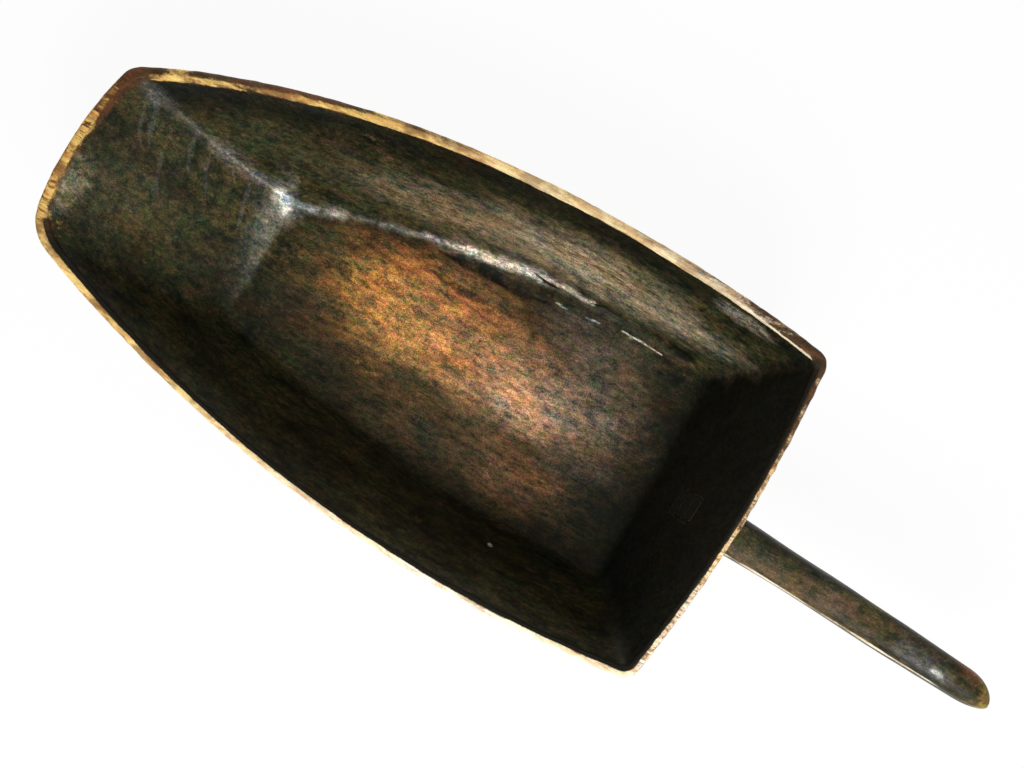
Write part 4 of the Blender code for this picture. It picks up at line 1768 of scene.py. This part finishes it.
    def dress(self, piece: bpy.types.Object, effects: SharedEffects) -> None:
        """Give the handle its finish and its place in the frame.

        Args:
            piece: The finished handle.
            effects: The shared node groups.
        """
        places = places_of(piece.data)
        x = places[:, 0]
        tip = smooth(0.340, 0.357, x)
        seat = np.array(self.seat())
        local = (places - seat[:3, 3]) @ seat[:3, :3]
        share = local[:, 0] / self.length
        half = (self.root_width + (self.end_width - self.root_width) * share) / 2
        upward = local[:, 2] * 2 / (self.root_depth + (self.end_depth - self.root_depth) * share)
        # Painted highlight: the upper edge of the side that faces the key lamp is painted bare and pale, as
        # a lit stripe; the worn tip is real wear.
        lit_edge = smooth(-0.80, -0.90, local[:, 1] / half) * smooth(0.0, 0.01, local[:, 0])
        lit_edge *= smooth(0.28, 0.42, upward) * smooth(0.76, 0.60, upward) * smooth(0.340, 0.325, x)
        lit_edge *= 0.90 + 0.45 * soft_noise(places / np.array((0.011, 0.02, 0.02)), 91)
        set_mask(piece.data, Mask.BARE_AND_LIT, 0.62 * tip + 0.95 * lit_edge)
        set_mask(piece.data, Mask.PALE_AND_LIT, lit_edge)
        set_mask(piece.data, Mask.ENDS, 0.4 * tip)
        # Painted shade: the tenon end inside the bowl is mixed to black, as the shaded back wall round it.
        set_mask(piece.data, Mask.SHADE_AND_GRIME, smooth(self.wall_x(True), self.wall_x(True) - 0.008, x))
        flank = smooth(0.2, 0.8, local[:, 1] / half)
        set_mask(piece.data, Mask.RUSSET, 0.7 * smooth(0.320, 0.345, x) * flank)
        # Painted sheen and glint near the tip: a pale highlight colour with a glossy coat.
        sheen = far_from(places, np.array(((0.296, -0.016, 0.089), (0.326, -0.019, 0.092)))) / 0.009
        glint = far_from(places, np.array(((0.319, -0.019, 0.0905), (0.324, -0.0195, 0.0905)))) / 0.0022
        rubbed = np.maximum(0.10 * smooth(1.0, 0.1, sheen), smooth(1.0, 0.3, glint))
        set_mask(piece.data, Mask.GLOSS_AND_HIGHLIGHT, rubbed)
        set_mask(piece.data, Mask.CUT, np.zeros(len(places)))
        piece.data.materials.clear()
        piece.data.materials.append(HANDLE_FINISH.material(effects))
        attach(piece, BODY)
        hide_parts("handle")


# Wedges

@dataclass
class Wedge:
    """A hardwood wedge driven into a kerf of the tenon from inside the bowl."""

    handle: Handle
    node: str
    level: float
    proud: float = 0.0002
    squareness: float = 8.0
    steps: int = 14

    def build(self, wall: BVHTree) -> bpy.types.Object:
        """Make the wedge, with a head that the mallet has roughened.

        Args:
            wall: The bowl's surface before its mortise is cut.

        Returns:
            The wedge.
        """
        handle = self.handle
        tip = handle.inner_face() + handle.wedge_length
        width = handle.tenon_width - 2 * handle.fit_gap
        head_thickness = float(handle.wedge_thickness(handle.inner_face()))
        head_line = handle.section(width, head_thickness, self.squareness)
        head_line[:, 1] += self.level
        head = handle.met(wall, head_line, handle.ray_inside, 1.0) - self.proud
        rings = []
        for share in np.linspace(0, 1, self.steps):
            along = head + (tip - head) * share
            thickness = handle.wedge_thickness(along)
            soft = 1 - 0.05 * smooth(0.04, 0.0, np.array(share))
            ring = handle.section(width * float(soft), 1.0, self.squareness)
            ring[:, 1] = ring[:, 1] * thickness * soft + self.level
            rings.append(handle.stack(along, ring))
        mesh = skinned(self.node, rings)
        places = places_of(mesh)
        crushed = soft_noise(places / np.array((0.02, 0.0016, 0.0016)), 107)
        places[:, 0] += 0.0003 * crushed * smooth(0.003, 0.0, places[:, 0] - head.min())
        move_points(mesh, handle.in_part(places))
        piece = new_object(self.node + "_driven", mesh)
        mesh.set_sharp_from_angle(angle=SHARP_ANGLE)
        return piece

    def dress(self, piece: bpy.types.Object, material: bpy.types.Material) -> None:
        """Give the wedge its finish and its place in the frame.

        Args:
            piece: The finished wedge.
            material: The finish that both wedges share.
        """
        count = len(piece.data.vertices)
        for mask in (Mask.BARE_AND_LIT, Mask.PALE_AND_LIT, Mask.ENDS, Mask.RUSSET, Mask.GLOSS_AND_HIGHLIGHT, Mask.CUT):
            set_mask(piece.data, mask, np.zeros(count))
        # Painted shade: each wedge is mixed to black all over, as the shaded back wall round it.
        set_mask(piece.data, Mask.SHADE_AND_GRIME, np.ones(count))
        piece.data.materials.append(material)
        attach(piece, BODY)
        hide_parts(self.node)


# Studio

@dataclass
class Studio:
    """The pale floor, the soft lights and the camera."""

    target: Point = (0.0165, 0.0044, 0.100)
    distance: float = 1.5
    tilt: float = math.radians(2.7)
    roll: float = math.radians(29.8)
    lens: float = 88.6
    floor_radius: float = 6.0
    floor_drop: float = 0.0004
    floor_color: Color = (0.94, 0.94, 0.93)
    shadow_share: float = 0.06
    fill: float = 0.30
    key_power: float = 27.0
    key_turn: float = math.radians(-60.2)
    key_height: float = math.radians(45)
    key_size: tuple[float, float] = (0.9, 0.7)
    side_power: float = 14.0
    side_turn: float = math.radians(118)
    side_height: float = math.radians(6)
    side_size: tuple[float, float] = (1.4, 0.2)
    lamp_distance: float = 1.6

    def axes(self) -> tuple[Vector, Vector, Vector]:
        """Work out the picture's own directions.

        Returns:
            The picture's right, its up and the way that the camera looks.
        """
        right = Vector((math.cos(self.roll), math.sin(self.roll), 0))
        flat_up = Vector((-math.sin(self.roll), math.cos(self.roll), 0))
        up = flat_up * math.cos(self.tilt) + Vector((0, 0, math.sin(self.tilt)))
        view = flat_up * math.sin(self.tilt) - Vector((0, 0, math.cos(self.tilt)))
        return right, up, view

    def build(self) -> None:
        """Set the camera, the lights, the floor and the world."""
        self.set_camera()
        self.hang_lamp("key", self.key_power, self.key_turn, self.key_height, self.key_size)
        self.hang_lamp("side", self.side_power, self.side_turn, self.side_height, self.side_size)
        self.set_floor()
        self.set_world()
        bpy.context.scene.view_settings.view_transform = "Standard"

    def set_camera(self) -> None:
        """Look down on the scoop as the photograph does."""
        right, up, view = self.axes()
        data = bpy.data.cameras.new("camera")
        data.lens = self.lens
        data.sensor_width = FILM_WIDTH
        data.sensor_fit = "HORIZONTAL"
        camera = bpy.data.objects.new("camera", data)
        turn = Matrix((right, up, -view)).transposed()
        camera.matrix_world = Matrix.Translation(Vector(self.target) - view * self.distance) @ turn.to_4x4()
        bpy.context.scene.collection.objects.link(camera)
        bpy.context.scene.camera = camera

    def hang_lamp(
        self, name: str, power: float, turn: float, height: float, size: tuple[float, float],
    ) -> None:
        """Hang a large soft lamp that shines on the scoop.

        Args:
            name: The lamp's name.
            power: Its power in watts.
            turn: Its direction in plan, from +X toward +Y.
            height: Its angle above the floor.
            size: Its width and height.
        """
        flat = Vector((math.cos(turn), math.sin(turn), 0))
        way = flat * math.cos(height) + Vector((0, 0, math.sin(height)))
        data = bpy.data.lights.new(name, "AREA")
        data.shape = "RECTANGLE"
        data.size, data.size_y = size
        data.energy = power
        lamp = bpy.data.objects.new(name, data)
        lamp.location = way * self.lamp_distance
        lamp.rotation_euler = (-way).to_track_quat("-Z", "Y").to_euler()
        bpy.context.scene.collection.objects.link(lamp)

    def set_floor(self) -> None:
        """Lay a wide pale disc under the scoop."""
        mesh = bpy.data.meshes.new("floor")
        bm = bmesh.new()
        bmesh.ops.create_circle(bm, cap_ends=True, segments=96, radius=self.floor_radius)
        bm.to_mesh(mesh)
        bm.free()
        floor = new_object("floor", mesh)
        floor.location.z = -self.floor_drop
        material = bpy.data.materials.new("floor")
        material.use_nodes = True
        sheet = NodeSheet(material.node_tree)
        shader = material.node_tree.nodes["Principled BSDF"]
        sheet.put(shader.inputs["Base Color"], self.floor_color)
        shader.inputs["Roughness"].default_value = 0.9
        shader.inputs["Specular IOR Level"].default_value = 0.0
        seen = self.seen_directly(sheet)
        white = sheet.add("Emission", {"Color": (1.0, 1.0, 1.0), "Strength": 1.0})
        mixed = sheet.add("MixShader", {0: sheet.times(seen, 1 - self.shadow_share)})
        sheet.put(mixed.inputs[1], shader.outputs[0])
        sheet.put(mixed.inputs[2], white.outputs[0])
        sheet.put(material.node_tree.nodes["Material Output"].inputs["Surface"], mixed.outputs[0])
        mesh.materials.append(material)

    def set_world(self) -> None:
        """Light everything softly from all round, and show plain white behind."""
        world = bpy.data.worlds.new("studio")
        world.use_nodes = True
        sheet = NodeSheet(world.node_tree)
        background = world.node_tree.nodes["Background"]
        sheet.put(background.inputs["Color"], (1.0, 1.0, 1.0))
        seen = self.seen_directly(sheet)
        sheet.put(background.inputs["Strength"], sheet.math("MULTIPLY_ADD", seen, 1 - self.fill, self.fill))
        bpy.context.scene.world = world

    def seen_directly(self, sheet: NodeSheet) -> Socket:
        """Tell what is looked at from what only lights other things.

        Args:
            sheet: The sheet of the floor or the world.

        Returns:
            1 for rays from the camera, a mirror or glass, and 0 for light on its way.
        """
        path = sheet.add("LightPath")
        mirrored = sheet.math("MAXIMUM", path.outputs["Is Glossy Ray"], path.outputs["Is Transmission Ray"])
        return sheet.math("MAXIMUM", path.outputs["Is Camera Ray"], mirrored)


def main() -> None:
    """Build the scoop's pieces in order, dress them and set the studio."""
    logging.basicConfig(level=logging.INFO, format="%(name)s: %(message)s")
    effects = SharedEffects()
    bowl = Bowl()
    bowl_piece = bowl.build()
    wall = BVHTree.FromObject(bowl_piece, bpy.context.evaluated_depsgraph_get())
    handle = Handle(bowl)
    handle_piece = handle.build(wall)
    cut_away(bowl_piece, handle.mortise())
    bowl.dress(bowl_piece, effects)
    handle.dress(handle_piece, effects)
    pieces = [bowl_piece, handle_piece]
    wedge_material = WEDGE_FINISH.material(effects)
    for node, sign in (("upper_wedge", 1), ("lower_wedge", -1)):
        wedge = Wedge(handle, node, sign * handle.wedge_spacing / 2)
        piece = wedge.build(wall)
        wedge.dress(piece, wedge_material)
        pieces.append(piece)
    for piece in pieces:
        log.info("%s: %d points", piece.name, len(piece.data.vertices))
    Studio().build()


if __name__ == "__main__":
    main()
